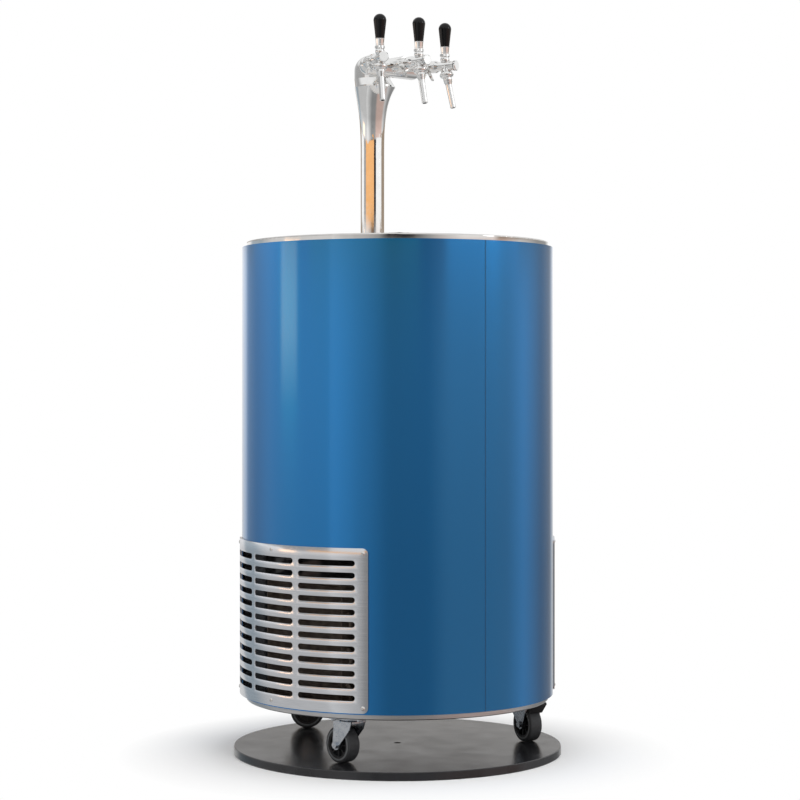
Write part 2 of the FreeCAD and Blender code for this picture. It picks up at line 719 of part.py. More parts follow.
def hinge_places():
    z0 = SKIN_Z + DOOR_FOOT
    return [z0 + HINGE_INSET, z0 + DOOR_HEIGHT - HINGE_INSET - HINGE_LENGTH]


def hinge_leaf(low, high, z0, z1):
    return arc_block(SKIN_RADIUS, SKIN_RADIUS + HINGE_LEAF, low, high, z0, z1)


def hinge_web(angle, z0, z1, side):
    """Short web from the barrel down to its leaf, on one side of the hinge line."""
    web = block((SKIN_RADIUS, SKIN_RADIUS + HINGE_STAND), (0, HINGE_BARREL - 0.4), (z0, z1))
    if side < 0:
        web = web.mirror(V(0, 0, 0), V(0, 1, 0))
    return along(web, angle, V(0, 0, 0))


def door_hinges_fixed():
    """Lower barrels with their pins and leaves, on the skin."""
    angle, radius = hinge_axis()
    pieces = []
    for z in hinge_places():
        at = polar(radius, angle, z)
        mid = z + HINGE_LENGTH / 2
        barrel = cylinder(HINGE_BARREL, HINGE_LENGTH / 2, at)
        leaf = hinge_leaf(angle - HINGE_LEAF_ANGLE, angle - HINGE_SPLIT_ANGLE, z, mid)
        barrel = barrel.fuse(hinge_web(angle, z, mid, -1)).fuse(leaf)
        pieces.append(barrel.fuse(cylinder(HINGE_PIN, HINGE_LENGTH - 3, at)).removeSplitter())
    return Part.makeCompound(pieces)


def door_hinge_halves():
    """Upper barrels and their leaves, for the door."""
    angle, radius = hinge_axis()
    pieces = []
    for z in hinge_places():
        low = z + HINGE_LENGTH / 2 + REST_GAP
        high = z + HINGE_LENGTH
        barrel = cylinder(HINGE_BARREL, high - low, polar(radius, angle, low))
        leaf = hinge_leaf(angle + HINGE_SPLIT_ANGLE, angle + HINGE_LEAF_ANGLE, low, high)
        barrel = barrel.fuse(hinge_web(angle, low, high, 1)).fuse(leaf)
        pin_hole = cylinder(HINGE_PIN + SHAFT_GAP, HINGE_LENGTH / 2, polar(radius, angle, low - 1))
        pieces.append(barrel.cut(pin_hole))
    return pieces


def door_knob():
    """Turned pull near the door's free edge."""
    low, high, z0, z1 = door_limits()
    wide = DOOR_KNOB_RADIUS
    stand = KNOB_STAND
    stem = 6.5
    knob = laid(turned([(0, 0), (stem + 2.5, 0), (stem + 2.5, 2), (stem, 4), (stem, stand - 7),
                        (wide, stand - 5), (wide, stand - 2), (wide - 2, stand), (0, stand)]))
    angle = high - math.degrees(2 * wide / SKIN_RADIUS)
    return along(knob, angle, polar(SKIN_RADIUS, angle, (z0 + z1) / 2))


# Tower


def tower_column():
    """Column with a collar at its foot and a flare that leans forward to a thin lip."""
    at = V(0, COLUMN_Y, RIM_Z)
    rings = []
    for i in range(FLARE_RINGS + 1):
        share = i / FLARE_RINGS
        radius = COLUMN_RADIUS + (LIP_RADIUS - COLUMN_RADIUS) * share ** FLARE_POWER
        centre = at + V(0, -LIP_SHIFT * share ** LEAN_POWER, LIP_HEIGHT - FLARE_LENGTH * (1 - share))
        rings.append(Part.Wire(Part.makeCircle(radius, centre)))
    flare = Part.makeLoft(rings, True, False)
    low = DECK_Z - RIM_Z
    shaft = cylinder(COLUMN_RADIUS, LIP_HEIGHT - FLARE_LENGTH - low, at + V(0, 0, low))
    thick, collar = FOOT_THICKNESS, COLLAR_HEIGHT
    foot = turned([(0, 0), (FOOT_RADIUS, 0), (FOOT_RADIUS, thick), (COLLAR_RADIUS, thick),
                   (COLLAR_RADIUS, collar), (COLUMN_RADIUS, collar + 2), (0, collar + 2)], at + V(0, 0, low))
    lip = cylinder(LIP_RADIUS, LIP_THICKNESS, at + V(0, -LIP_SHIFT, LIP_HEIGHT))
    column = shaft.fuse(foot).fuse(flare).fuse(lip)
    return column.cut(cylinder(COLUMN_BORE, LIP_HEIGHT - low, at + V(0, 0, low))).removeSplitter()


def tower_head():
    """Casting on the column's lip: low cone, round head, and a bar with ball ends and a boss for each tap."""
    lip_at = V(0, COLUMN_Y - LIP_SHIFT, HEAD_Z)
    head_at = V(0, COLUMN_Y, HEAD_Z)
    base = Part.Wire(Part.makeCircle(LIP_RADIUS - 1, lip_at))
    shoulder = Part.Wire(Part.makeCircle(HEAD_RADIUS, head_at + V(0, 0, CONE_RISE)))
    cone = Part.makeLoft([base, shoulder], True, True)
    head = cylinder(HEAD_RADIUS, HEAD_RISE - CONE_RISE, head_at + V(0, 0, CONE_RISE))
    head = round_edges(head, HEAD_ROUND, lambda e: is_circle_at(e, HEAD_RADIUS, HEAD_Z + HEAD_RISE))
    bar_z = TAP_Z - BAR_DROP
    neck = cylinder(BAR_RADIUS - 2, COLUMN_Y - BAR_Y, V(0, BAR_Y, bar_z), V(0, 1, 0))
    bar = cylinder(BAR_RADIUS, 2 * BAR_HALF, V(-BAR_HALF, BAR_Y, bar_z), V(1, 0, 0))
    casting = cone.fuse(head).fuse(neck).fuse(bar)
    for x in (-BAR_HALF, BAR_HALF):
        casting = casting.fuse(Part.makeSphere(BAR_RADIUS, V(x, BAR_Y, bar_z)))
    for name in TAPS:
        foot, angle, reach = tap_place(name)
        casting = casting.fuse(cylinder(TAP_BOSS_RADIUS, seat_distance(reach), foot, polar(1, angle)))
    return casting


# Taps, made along +X from the bar's middle with the tap's axis at height zero


def tap_length(side):
    return TAP_REACH + (CENTRE_EXTRA if side == 0 else 0)


def seat_distance(reach):
    """Distance from the bar's middle to the face that the tap's nut sits on."""
    return TAP_SEAT + reach - TAP_REACH


def tap_nut(reach):
    """Hexagonal union nut against the boss, with a round flange."""
    start = seat_distance(reach)
    nut = laid(hexagon(NUT_FLAT / math.sqrt(3), TAP_NUT_LENGTH, V(0, 0, start)))
    wide = BODY_RADIUS + TAP_FLANGE_EXTRA
    end = TAP_FLANGE_LENGTH
    soft = 2.1
    ring = laid(turned([(0, 0), (wide, 0), (wide, end - soft), (wide - soft, end), (0, end)], V(0, 0, start)))
    hole = cylinder(SHANK_RADIUS, TAP_NUT_LENGTH, V(start, 0, 0), V(1, 0, 0))
    return nut.fuse(ring).cut(hole)


def spout_line():
    """Unit vector down the spout, leaning forward."""
    lean = math.radians(SPOUT_LEAN)
    return V(math.sin(lean), 0, -math.cos(lean))


def tap_body(reach):
    """Turned body with a socket for the lever's ball, and bosses for the spout and the flow lever."""
    start = seat_distance(reach)
    rear = start + TAP_NUT_LENGTH
    nose = reach + TAP_NOSE
    wide, slim, cap = BODY_RADIUS, NOSE_RADIUS, NOSE_CAP_RADIUS
    body = laid(turned([
        (0, start), (SHANK_RADIUS, start), (SHANK_RADIUS, rear), (wide - 2, rear), (wide, rear + 2),
        (wide, rear + 9), (wide - 2, rear + 10), (wide - 2, rear + 13), (wide, rear + 14), (wide, reach - 21),
        (slim, reach - 15), (slim, nose - 6), (cap, nose - 5), (cap, nose - 1.5), (cap - 1.5, nose),
        (0, nose)]))
    boss = cylinder(SPOUT_RADII[0] + 1.2, SPOUT_BOSS, V(reach, 0, 0), spout_line())
    flow_at = reach - TAP_REACH + FLOW_PIVOT
    side = cylinder(FLOW_BOSS_RADIUS, FLOW_BOSS_OUT, V(flow_at, 0, 0), V(0, -1, 0))
    socket = Part.makeSphere(BALL_RADIUS + REST_GAP, V(reach, 0, BALL_RISE))
    bore = cylinder(FLOW_PIN + SHAFT_GAP, FLOW_PIN_DEPTH + 1, V(flow_at, -FLOW_BOSS_OUT, 0), V(0, 1, 0))
    return body.fuse(boss).fuse(side).cut(socket).cut(bore).removeSplitter()


def spout(reach):
    """Bulged coupling, seat and tapering tube with an open bore at its tip."""
    length = SPOUT_DROP / math.cos(math.radians(SPOUT_LEAN))
    seat = SPOUT_BOSS
    neck = seat + SPOUT_SEAT_LENGTH
    wide, mid, tip = SPOUT_RADII
    bulge_end = seat + SPOUT_BULGE_LENGTH
    bulge = (SPOUT_BULGE, (seat + bulge_end) / 2), (wide, bulge_end)
    tube = turned([(0, seat), (wide, seat), bulge, (wide, neck - 5), (mid, neck + 6), (tip, length),
                   (SPOUT_BORE, length), (SPOUT_BORE, length - 20), (0, length - 22)])
    tube.Placement = FreeCAD.Placement(V(reach, 0, 0), FreeCAD.Rotation(UP, spout_line()))
    return tube


def tap_lever(reach):
    """Ball, ring nut and ferrule in one piece."""
    ball = BALL_RADIUS
    low, high = LEVER_NUT
    neck = 7.4
    meet = math.sqrt(ball * ball - neck * neck)
    wide = LEVER_NUT_RADIUS
    lever = turned([(0, -ball), ((ball, 0), (neck, meet)), (neck, low - 0.2), (wide - 1, low),
                    (wide, low + 1), (wide, high - 1), (wide - 1, high), (FERRULE_RADII[0], high),
                    (FERRULE_RADII[1], FERRULE_TOP), (0, FERRULE_TOP)])
    lever.translate(V(reach, 0, BALL_RISE))
    return lever


def tap_knob(reach):
    """Black grip that widens to a round head."""
    wide, slim = KNOB_RADIUS, KNOB_FOOT_RADIUS
    shoulder = KNOB_HEIGHT - wide
    grip = turned([(0, 0), (slim - 1, 0), (slim, 1), (wide, shoulder), dome(wide, shoulder, wide)])
    grip.translate(V(reach, 0, BALL_RISE + FERRULE_TOP))
    return grip


def flow_lever(reach):
    """Small side lever that sets the flow, with a pin in the body's boss."""
    at = reach - TAP_REACH + FLOW_PIVOT
    y0 = -FLOW_BOSS_OUT - REST_GAP
    disc = cylinder(FLOW_BOSS_RADIUS, FLOW_DISC, V(0, y0, 0), V(0, -1, 0))
    pin = cylinder(FLOW_PIN, FLOW_PIN_DEPTH + REST_GAP, V(0, y0, 0), V(0, 1, 0))
    tip = 2.6
    arm = plate_side([(-4, 0), (-tip, tip - FLOW_REACH), ((0, -FLOW_REACH), (tip, tip - FLOW_REACH)), (4, 0)],
                     y0 - FLOW_DISC, y0)
    lever = disc.fuse(pin).fuse(arm)
    lever.rotate(V(0, 0, 0), V(0, 1, 0), -FLOW_LEAN)
    lever.translate(V(at, 0, 0))
    return lever


def tap_place(name):
    """Foot of a tap in the bar's middle, the plan angle that it points along, and its reach."""
    side, splay = TAPS[name]
    return V(side * BAR_HALF, BAR_Y, TAP_Z), 270 - splay, tap_length(side)


def tap_pieces():
    pieces = {}
    nuts = []
    for name in TAPS:
        at, angle, reach = tap_place(name)
        parts = {"tap_body_": tap_body(reach), "spout_": spout(reach), "tap_lever_": tap_lever(reach),
                 "tap_knob_": tap_knob(reach), "flow_lever_": flow_lever(reach)}
        for stem, shape in parts.items():
            pieces[stem + name] = along(shape, angle, at)
        nuts.append(along(tap_nut(reach), angle, at))
    pieces["tap_nuts"] = Part.makeCompound(nuts)
    return pieces


# Water bath


def bath_insulation():
    shell = cylinder(BATH_RADIUS, BATH_HEIGHT, V(0, 0, BATH_Z))
    return shell.cut(cylinder(TANK_RADIUS, BATH_HEIGHT, V(0, 0, BATH_Z + BATH_FOAM)))


def bath_tank():
    z0 = BATH_Z + BATH_FOAM
    tank = cylinder(TANK_RADIUS, LID_Z - z0, V(0, 0, z0))
    return tank.cut(cylinder(TANK_RADIUS - BATH_LINER, LID_Z - z0, V(0, 0, z0 + BATH_LINER)))


def coil_stack(inset, tube):
    """Outer form of a close-wound coil that stands on the tank's floor: a band with a rounded section."""
    radius = TANK_RADIUS - inset
    z0 = BATH_Z + BATH_FOAM + BATH_LINER
    inner, outer = radius - tube / 2, radius + tube / 2
    return turned([(inner, tube / 2), ((radius, 0), (outer, tube / 2)), (outer, COIL_HEIGHT - tube / 2),
                   ((radius, COIL_HEIGHT), (inner, COIL_HEIGHT - tube / 2))], V(0, 0, z0))


def bath_lid():
    lid = cylinder(BATH_RADIUS, LID_THICKNESS, V(0, 0, LID_Z))
    lid = lid.cut(cylinder(AGITATOR_SHAFT + 4, LID_THICKNESS, V(0, 0, LID_Z)))
    for x in line_places():
        lid = lid.cut(cylinder(LINE_RADIUS, LID_THICKNESS, V(x, COLUMN_Y, LID_Z)))
    return lid


def line_places():
    return (-LINE_PITCH, 0.0, LINE_PITCH)


def beer_lines():
    """Three straight lines from the bath up inside the column."""
    length = LIP_Z - 6 - LID_Z
    return Part.makeCompound([cylinder(LINE_RADIUS, length, V(x, COLUMN_Y, LID_Z)) for x in line_places()])


def agitator_motor():
    z0 = LID_Z + LID_THICKNESS
    radius = AGITATOR_MOTOR_RADIUS
    flange = radius + 8
    top = AGITATOR_MOTOR_HEIGHT
    motor = turned([(0, 0), (flange, 0), (flange, 3), (radius, 3), (radius, top - 6), (radius - 6, top),
                    (0, top)], V(0, 0, z0))
    return motor.cut(cylinder(AGITATOR_SHAFT + SHAFT_GAP, AGITATOR_GRIP + 1, V(0, 0, z0)))


def agitator():
    """Shaft with a four-bladed impeller."""
    top = LID_Z + LID_THICKNESS + AGITATOR_GRIP
    low = LID_Z - AGITATOR_DROP
    shaft = cylinder(AGITATOR_SHAFT, top - low, V(0, 0, low))
    shaft = shaft.fuse(cylinder(11, 18, V(0, 0, low)))
    for i in range(4):
        blade = block((6, AGITATOR_BLADE), (-1, 1), (-8, 8))
        blade.rotate(V(0, 0, 0), V(1, 0, 0), 35)
        shaft = shaft.fuse(along(blade, 90 * i, V(0, 0, low + 9)))
    return shaft


# Cooling unit


def compressor():
    z0 = PAN_Z + PAN_THICKNESS
    radius = COMPRESSOR_RADIUS
    waist = COMPRESSOR_HEIGHT * 0.5
    top = COMPRESSOR_HEIGHT
    seam = radius + 5
    shoulder = top - 45
    foot = COMPRESSOR_FOOT_HEIGHT
    sole = foot + 4
    pot = turned([(0, sole), (radius - 22, sole), ((radius - 6, sole + 6), (radius, sole + 24)),
                  (radius, waist), (seam, waist), (seam, waist + 5), (radius, waist + 5), (radius, shoulder),
                  dome(radius, shoulder, top - shoulder)], V(COMPRESSOR_X, 0, z0))
    half = COMPRESSOR_PLATE / 2
    plate = block((COMPRESSOR_X - half, COMPRESSOR_X + half), (20 - half, half - 20), (z0 + foot, z0 + sole))
    for x in (-1, 1):
        for y in (-1, 1):
            plate = plate.fuse(cylinder(12, foot, V(COMPRESSOR_X + x * (half - 17), y * (half - 37), z0)))
    return pot.fuse(plate).removeSplitter()


def condenser():
    """Finned block that stands on the pan behind the left grille."""
    depth, width, height = CONDENSER_SIZE
    z0 = PAN_Z + PAN_THICKNESS
    core = block((CONDENSER_X, CONDENSER_X + depth), (-width / 2, width / 2), (z0, z0 + height))
    pitch = (width - 2 * CONDENSER_EDGE) / CONDENSER_FINS
    groove = 0.66 * pitch
    grooves = []
    for i in range(CONDENSER_FINS):
        y = CONDENSER_EDGE - width / 2 + (i + 0.5) * pitch
        grooves.append(block((CONDENSER_X - 1, CONDENSER_X + CONDENSER_GROOVE),
                             (y - groove / 2, y + groove / 2),
                             (z0 + CONDENSER_EDGE, z0 + height - CONDENSER_EDGE)))
    return core.cut(Part.makeCompound(grooves))


def fan_centre():
    return V(CONDENSER_X + CONDENSER_SIZE[0], 0, PAN_Z + PAN_THICKNESS + CONDENSER_SIZE[2] / 2)


def fan_shroud():
    """Square plate on the condenser with a ring round the fan and three arms that hold the motor."""
    at = fan_centre()
    width, height = CONDENSER_SIZE[1], CONDENSER_SIZE[2]
    plate = block((at.x, at.x + 2), (-width / 2, width / 2), (at.z - height / 2, at.z + height / 2))
    ring = cylinder(FAN_RADIUS + 8, SHROUD_DEPTH, at, V(1, 0, 0))
    shroud = plate.fuse(ring).cut(cylinder(FAN_RADIUS + 5, SHROUD_DEPTH, at, V(1, 0, 0)))
    end = at.x + SHROUD_DEPTH
    for i in range(3):
        arm = block((end - 3, end), (-7, 7), (FAN_MOTOR_RADIUS - 10, FAN_RADIUS + 7))
        arm.rotate(V(0, 0, 0), V(1, 0, 0), 120 * i)
        arm.translate(V(0, 0, at.z))
        shroud = shroud.fuse(arm)
    return shroud.removeSplitter()


def fan_motor():
    at = fan_centre() + V(SHROUD_DEPTH, 0, 0)
    motor = cylinder(FAN_MOTOR_RADIUS, FAN_MOTOR_LENGTH, at, V(1, 0, 0))
    return motor.fuse(cylinder(FAN_SHAFT, FAN_SHAFT_LENGTH, at, V(-1, 0, 0)))


def fan_rotor():
    """Hub and pitched blades on the motor's shaft."""
    at = fan_centre()
    middle = at.x + SHROUD_DEPTH / 2
    rotor = cylinder(FAN_HUB_RADIUS, FAN_HUB_LENGTH, V(middle - FAN_HUB_LENGTH / 2, 0, 0), V(1, 0, 0))
    half = FAN_CHORD / 2
    root = FAN_HUB_RADIUS - 4
    tip = FAN_RADIUS - 4
    for i in range(FAN_BLADES):
        blade = plate_side([(-half, root), (half, root), (half + 6, tip), (12 - half, tip)], -0.8, 0.8)
        blade.rotate(V(0, 0, 0), UP, FAN_PITCH)
        blade.translate(V(middle, 0, 0))
        blade.rotate(V(0, 0, 0), V(1, 0, 0), 360 / FAN_BLADES * i)
        rotor = rotor.fuse(blade)
    rotor = rotor.cut(cylinder(FAN_SHAFT + SHAFT_GAP, SHROUD_DEPTH, V(at.x, 0, 0), V(1, 0, 0)))
    rotor.translate(V(0, 0, at.z))
    return rotor


# Controls and connections


def thermostat_place():
    """Middle of the thermostat's back, on the insulation, and its height."""
    y = math.sqrt(BATH_RADIUS ** 2 - THERMOSTAT_X ** 2)
    return V(THERMOSTAT_X, y, SKIN_Z + DOOR_FOOT + THERMOSTAT_HEIGHT)


def thermostat():
    width, depth, height = THERMOSTAT_SIZE
    at = thermostat_place()
    angle = math.degrees(math.atan2(at.y, at.x))
    box = block((0, depth), (-width / 2, width / 2), (-height / 2, height / 2))
    box = box.fuse(cylinder(SPINDLE_RADIUS, SPINDLE_LENGTH, V(depth, 0, SPINDLE_RISE), V(1, 0, 0)))
    return along(box, angle, at)


def thermostat_dial():
    """Knob with a ridge across it, on the thermostat's spindle."""
    depth = THERMOSTAT_SIZE[1]
    at = thermostat_place()
    angle = math.degrees(math.atan2(at.y, at.x))
    start = depth + REST_GAP
    ridge = DIAL_RADIUS - 2
    dial = cylinder(DIAL_RADIUS, DIAL_DEPTH - 6, V(start, 0, SPINDLE_RISE), V(1, 0, 0))
    low, high = SPINDLE_RISE - ridge, SPINDLE_RISE + ridge
    dial = dial.fuse(block((start, start + DIAL_DEPTH), (-3, 3), (low, high)))
    hole = SPINDLE_RADIUS + SHAFT_GAP
    dial = dial.cut(cylinder(hole, SPINDLE_LENGTH + 0.5, V(depth, 0, SPINDLE_RISE), V(1, 0, 0)))
    return along(dial, angle, at)


def beer_inlets():
    """Threaded connectors for the three beer lines, through the skin."""
    flange, thick = INLET_FLANGE
    radius = INLET_RADIUS
    end = thick + INLET_LENGTH
    back = -SKIN_THICKNESS
    tail, slim, bore = -INLET_TAIL, INLET_TAIL_RADIUS, INLET_BORE
    outline = [(0, tail), (slim, tail), (slim, back), (radius, back), (radius, 0), (flange, 0),
               (flange, thick), (radius, thick), (radius, end), (bore, end), (bore, thick), (0, thick)]
    stub = laid(turned(outline))
    z = SKIN_Z + INLET_HEIGHT
    return Part.makeCompound([along(stub, angle, polar(SKIN_RADIUS, angle, z)) for angle in INLET_ANGLES])


def power_inlet():
    """Flush mains inlet with three blades in its recess."""
    width, height = SOCKET_SIZE
    inlet = socket_block(width, height, SKIN_RADIUS - 28, SKIN_RADIUS + 1)
    inlet = inlet.fuse(socket_block(width + 12, height + 8, SKIN_RADIUS, SKIN_RADIUS + 3))
    inlet = inlet.cut(socket_block(width - 10, height - 8, SKIN_RADIUS - 18, SKIN_RADIUS + 5))
    z = SKIN_Z + SOCKET_HEIGHT
    for y, rise in ((-8, -3), (0, 3), (8, -3)):
        blade = block((SKIN_RADIUS - 18, SKIN_RADIUS - 3), (y - 1, y + 1), (z + rise - 3, z + rise + 3))
        inlet = inlet.fuse(along(blade, SOCKET_ANGLE, V(0, 0, 0)))
    return inlet


def all_pieces():
    pieces = {
        "floor_board": floor_board(),
        "base_pan": base_pan(),
        "body_skin": body_skin(),
        "inner_frame": inner_frame(),
        "worktop": worktop(),
        "drip_tray": drip_tray(),
        "drip_grid": drip_grid(),
        "grille_left": grille(GRILLE_MIDDLES["left"]),
        "grille_right": grille(GRILLE_MIDDLES["right"]),
        "grille_screws": grille_screws(),
        "service_door": service_door(),
        "door_hinges_fixed": door_hinges_fixed(),
        "door_knob": door_knob(),
        "tower_column": tower_column(),
        "tower_head": tower_head(),
        "bath_insulation": bath_insulation(),
        "bath_tank": bath_tank(),
        "bath_lid": bath_lid(),
        "beer_coils": Part.makeCompound([coil_stack(inset, BEER_TUBE) for inset in BEER_COIL_INSETS]),
        "evaporator_coil": coil_stack(EVAPORATOR_INSET, EVAPORATOR_TUBE),
        "beer_lines": beer_lines(),
        "agitator_motor": agitator_motor(),
        "agitator": agitator(),
        "compressor": compressor(),
        "condenser": condenser(),
        "fan_shroud": fan_shroud(),
        "fan_motor": fan_motor(),
        "fan_rotor": fan_rotor(),
        "thermostat": thermostat(),
        "thermostat_dial": thermostat_dial(),
        "beer_inlets": beer_inlets(),
        "power_inlet": power_inlet(),
    }
    pieces.update(caster_pieces())
    pieces.update(tap_pieces())
    return pieces


def main():
    os.makedirs("parts", exist_ok=True)
    for node, shape in all_pieces().items():
        shape.exportStep("parts/" + node + ".step")
        print(node, "solids", len(shape.Solids), "valid", shape.isValid(), "volume", round(shape.Volume))


main()
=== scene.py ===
import json
import math

import bmesh
import bpy
from mathutils import Matrix, Vector


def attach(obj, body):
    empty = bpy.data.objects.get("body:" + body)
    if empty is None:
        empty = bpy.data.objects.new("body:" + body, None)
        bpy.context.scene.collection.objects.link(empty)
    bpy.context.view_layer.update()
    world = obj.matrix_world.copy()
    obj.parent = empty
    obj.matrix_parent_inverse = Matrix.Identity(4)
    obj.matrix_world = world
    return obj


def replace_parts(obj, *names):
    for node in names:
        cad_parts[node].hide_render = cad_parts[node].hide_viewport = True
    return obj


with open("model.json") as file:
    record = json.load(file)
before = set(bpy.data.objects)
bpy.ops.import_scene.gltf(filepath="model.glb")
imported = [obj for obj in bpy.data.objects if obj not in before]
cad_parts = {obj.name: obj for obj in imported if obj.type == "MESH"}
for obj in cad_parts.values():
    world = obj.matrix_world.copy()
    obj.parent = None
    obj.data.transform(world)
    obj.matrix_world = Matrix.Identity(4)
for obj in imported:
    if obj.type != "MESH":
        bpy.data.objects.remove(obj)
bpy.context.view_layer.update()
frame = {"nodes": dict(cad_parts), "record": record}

scene = bpy.context.scene
MM = 0.001


# Camera: level, in front of the left side, as the photograph was taken

CAMERA_DISTANCE = 4.761
CAMERA_HEIGHT = 0.8253
CAMERA_TURN = math.radians(40.0)
CAMERA_LENS = 96.26
CAMERA_SHIFT = (0.003125, -0.025)


def place_camera():
    data = bpy.data.cameras.new("camera")
    data.lens = CAMERA_LENS
    data.shift_x, data.shift_y = CAMERA_SHIFT
    camera = bpy.data.objects.new("camera", data)
    scene.collection.objects.link(camera)
    turn = CAMERA_TURN
    camera.location = (-CAMERA_DISTANCE * math.sin(turn), -CAMERA_DISTANCE * math.cos(turn), CAMERA_HEIGHT)
    camera.rotation_euler = (math.pi / 2, 0, -turn)
    scene.camera = camera


# Materials


def linear(colour):
    """Linear RGBA of an sRGB hex colour."""
    parts = [int(colour[i:i + 2], 16) / 255 for i in (0, 2, 4)]
    return [c / 12.92 if c <= 0.04045 else ((c + 0.055) / 1.055) ** 2.4 for c in parts] + [1.0]


def feed(tree, node, inputs):
    """Gives each named input of a node a value or a link."""
    for name, value in inputs.items():
        if isinstance(value, bpy.types.NodeSocket):
            tree.links.new(value, node.inputs[name])
        else:
            node.inputs[name].default_value = value


def add(tree, kind, inputs=None, stops=None, **settings):
    """Adds a node with its settings, values and links."""
    node = tree.nodes.new("ShaderNode" + kind)
    for name, value in settings.items():
        setattr(node, name, value)
    feed(tree, node, inputs or {})
    if stops:
        elements = node.color_ramp.elements
        while len(elements) > 1:
            elements.remove(elements[-1])
        elements[0].position, elements[0].color = stops[0][0], linear(stops[0][1])
        for place, colour in stops[1:]:
            elements.new(place).color = linear(colour)
    return node


# The middle range of a noise, which is carried to a finish's two colours and two roughnesses
NOISE_LOW, NOISE_HIGH = 0.3, 0.7
EVEN = (1, 1, 1)
PLAIN_DETAIL = 3.0
# A face looks inwards where its normal and its way out from the axis differ by this much
LOOKS_INWARDS = -0.05


def finish(name, size, colours, roughness, stretch=EVEN, detail=PLAIN_DETAIL, relief=0.0, grain=0.0,
           inner_primer_and_shade=None, **same):
    """Finish whose colour, roughness and relief follow a pattern of a real size in millimetres.

    Roughness is one value or two. Relief is its depth, and grain the size of its own pattern, if it has one.
    A pair for the inner side gives the colour and the roughness of the side that faces the cabinet's axis: grey
    primer, darkened as painted shade of the cabinet's inside. The rest is the same all over.
    """
    material = bpy.data.materials.new(name)
    material.use_nodes = True
    tree = material.node_tree
    place = add(tree, "TexCoord").outputs["Object"]
    patterns = []
    for width, way, fine in [(size, stretch, detail)] + ([(grain, EVEN, PLAIN_DETAIL)] if grain else []):
        mapped = add(tree, "Mapping", {"Vector": place, "Scale": [1 / (width * MM * s) for s in way]})
        noise = add(tree, "TexNoise", {"Vector": mapped.outputs[0], "Scale": 1.0, "Detail": fine})
        patterns.append(noise.outputs["Fac"])
    stops = list(zip((NOISE_LOW, NOISE_HIGH), colours))
    inputs = {name.replace("_", " "): value for name, value in same.items()}
    inputs["Base Color"] = add(tree, "ValToRGB", {"Fac": patterns[0]}, stops=stops).outputs["Color"]
    inputs["Roughness"] = roughness
    if isinstance(roughness, tuple):
        limits = {"From Min": NOISE_LOW, "From Max": NOISE_HIGH, "To Min": roughness[0], "To Max": roughness[1]}
        inputs["Roughness"] = add(tree, "MapRange", {"Value": patterns[0], **limits}).outputs["Result"]
    # The side that faces the axis takes grey primer, darkened as painted shade of the cabinet's inside
    if inner_primer_and_shade:
        flat = add(tree, "VectorMath", {0: place, 1: (1, 1, 0)}, operation="MULTIPLY").outputs["Vector"]
        normal = add(tree, "TexCoord").outputs["Normal"]
        outward = add(tree, "VectorMath", {0: flat, 1: normal}, operation="DOT_PRODUCT").outputs["Value"]
        inside = add(tree, "Math", {0: outward, 1: LOOKS_INWARDS}, operation="LESS_THAN").outputs[0]
        sides = {"Factor": inside, "A": inputs["Base Color"], "B": linear(inner_primer_and_shade[0])}
        inputs["Base Color"] = add(tree, "Mix", sides, data_type="RGBA").outputs["Result"]
        for quality, dull in (("Metallic", 0.0), ("Roughness", inner_primer_and_shade[1])):
            limits = {"To Min": inputs[quality], "To Max": dull}
            inputs[quality] = add(tree, "MapRange", {"Value": inside, **limits}).outputs["Result"]
    if relief:
        bump = {"Height": patterns[-1], "Distance": relief * MM, "Strength": 1.0}
        inputs["Normal"] = add(tree, "Bump", bump).outputs["Normal"]
    feed(tree, tree.nodes["Principled BSDF"], inputs)
    return material


def blue_lacquer():
    # Metallic stove lacquer on rolled sheet steel: deep gloss with long soft reflections and a faint orange
    # peel outside. Inside, grey primer in a dark grey that is painted shade of the closed cabinet's inside
    return finish("blue_stove_lacquer", 400, ("1580C6", "1C86CC"), 0.16, (1, 1, 4), relief=0.004, grain=9,
                  inner_primer_and_shade=("4A4B4D", 0.8), Metallic=0.95, Coat_Weight=0.8, Coat_Roughness=0.03, Coat_IOR=1.5)


def brushed_stainless():
    # Cold-rolled stainless sheet, brushed along its length: fine level lines and a broad soft sheen. The real
    # lines are finer, and are drawn as coarse as they need to show
    return finish("brushed_stainless_sheet", 0.8, ("DCDEE2", "E8EAEE"), (0.12, 0.2), (60, 60, 1), 4.0,
                  relief=0.002, Metallic=1.0)


def polished_stainless():
    # Polished stainless sheet: bright, with light rubbing marks from cloths and glasses
    return finish("polished_stainless_sheet", 30, ("DAD8D5", "E6E4E2"), (0.015, 0.035), detail=6.0,
                  Metallic=1.0)


def satin_aluminium():
    # Spun aluminium with a satin skin: even light grey with level turning marks, drawn coarser than they are
    return finish("satin_spun_aluminium", 1.2, ("B9BABC", "CFD0D1"), (0.28, 0.38), (80, 80, 1), Metallic=1.0)


def chrome_plate():
    # Chrome plate on cast and turned brass: mirror bright, a little uneven where it was cast
    return finish("chrome_plated_brass", 14, ("F0F0EF", "F8F8F7"), (0.03, 0.07), detail=2.0, relief=0.006,
                  Metallic=1.0)


def black_phenolic():
    # Moulded and buffed phenolic: jet black with a wet gloss
    return finish("black_phenolic", 12, ("060607", "0B0B0C"), (0.06, 0.1), Metallic=0.0, Specular_IOR_Level=0.3)


def tyre_rubber():
    # Grey-black thermoplastic rubber: dull, with dust on the tread
    return finish("tyre_rubber", 5, ("2B2C2E", "3C3D3F"), (0.55, 0.75), detail=5.0, relief=0.05, grain=1.2)


def tyre_edge_rubber():
    # The same rubber where the mould left it smooth, at the tyre's edge: paler, with a low sheen
    return finish("tyre_edge_rubber", 5, ("5E6062", "727476"), (0.45, 0.6), detail=5.0, relief=0.03, grain=1.2)


def hub_polypropylene():
    # Moulded polypropylene: near black with a low sheen
    return finish("hub_polypropylene", 2, ("1B1C1E", "26272A"), (0.4, 0.5), relief=0.02)


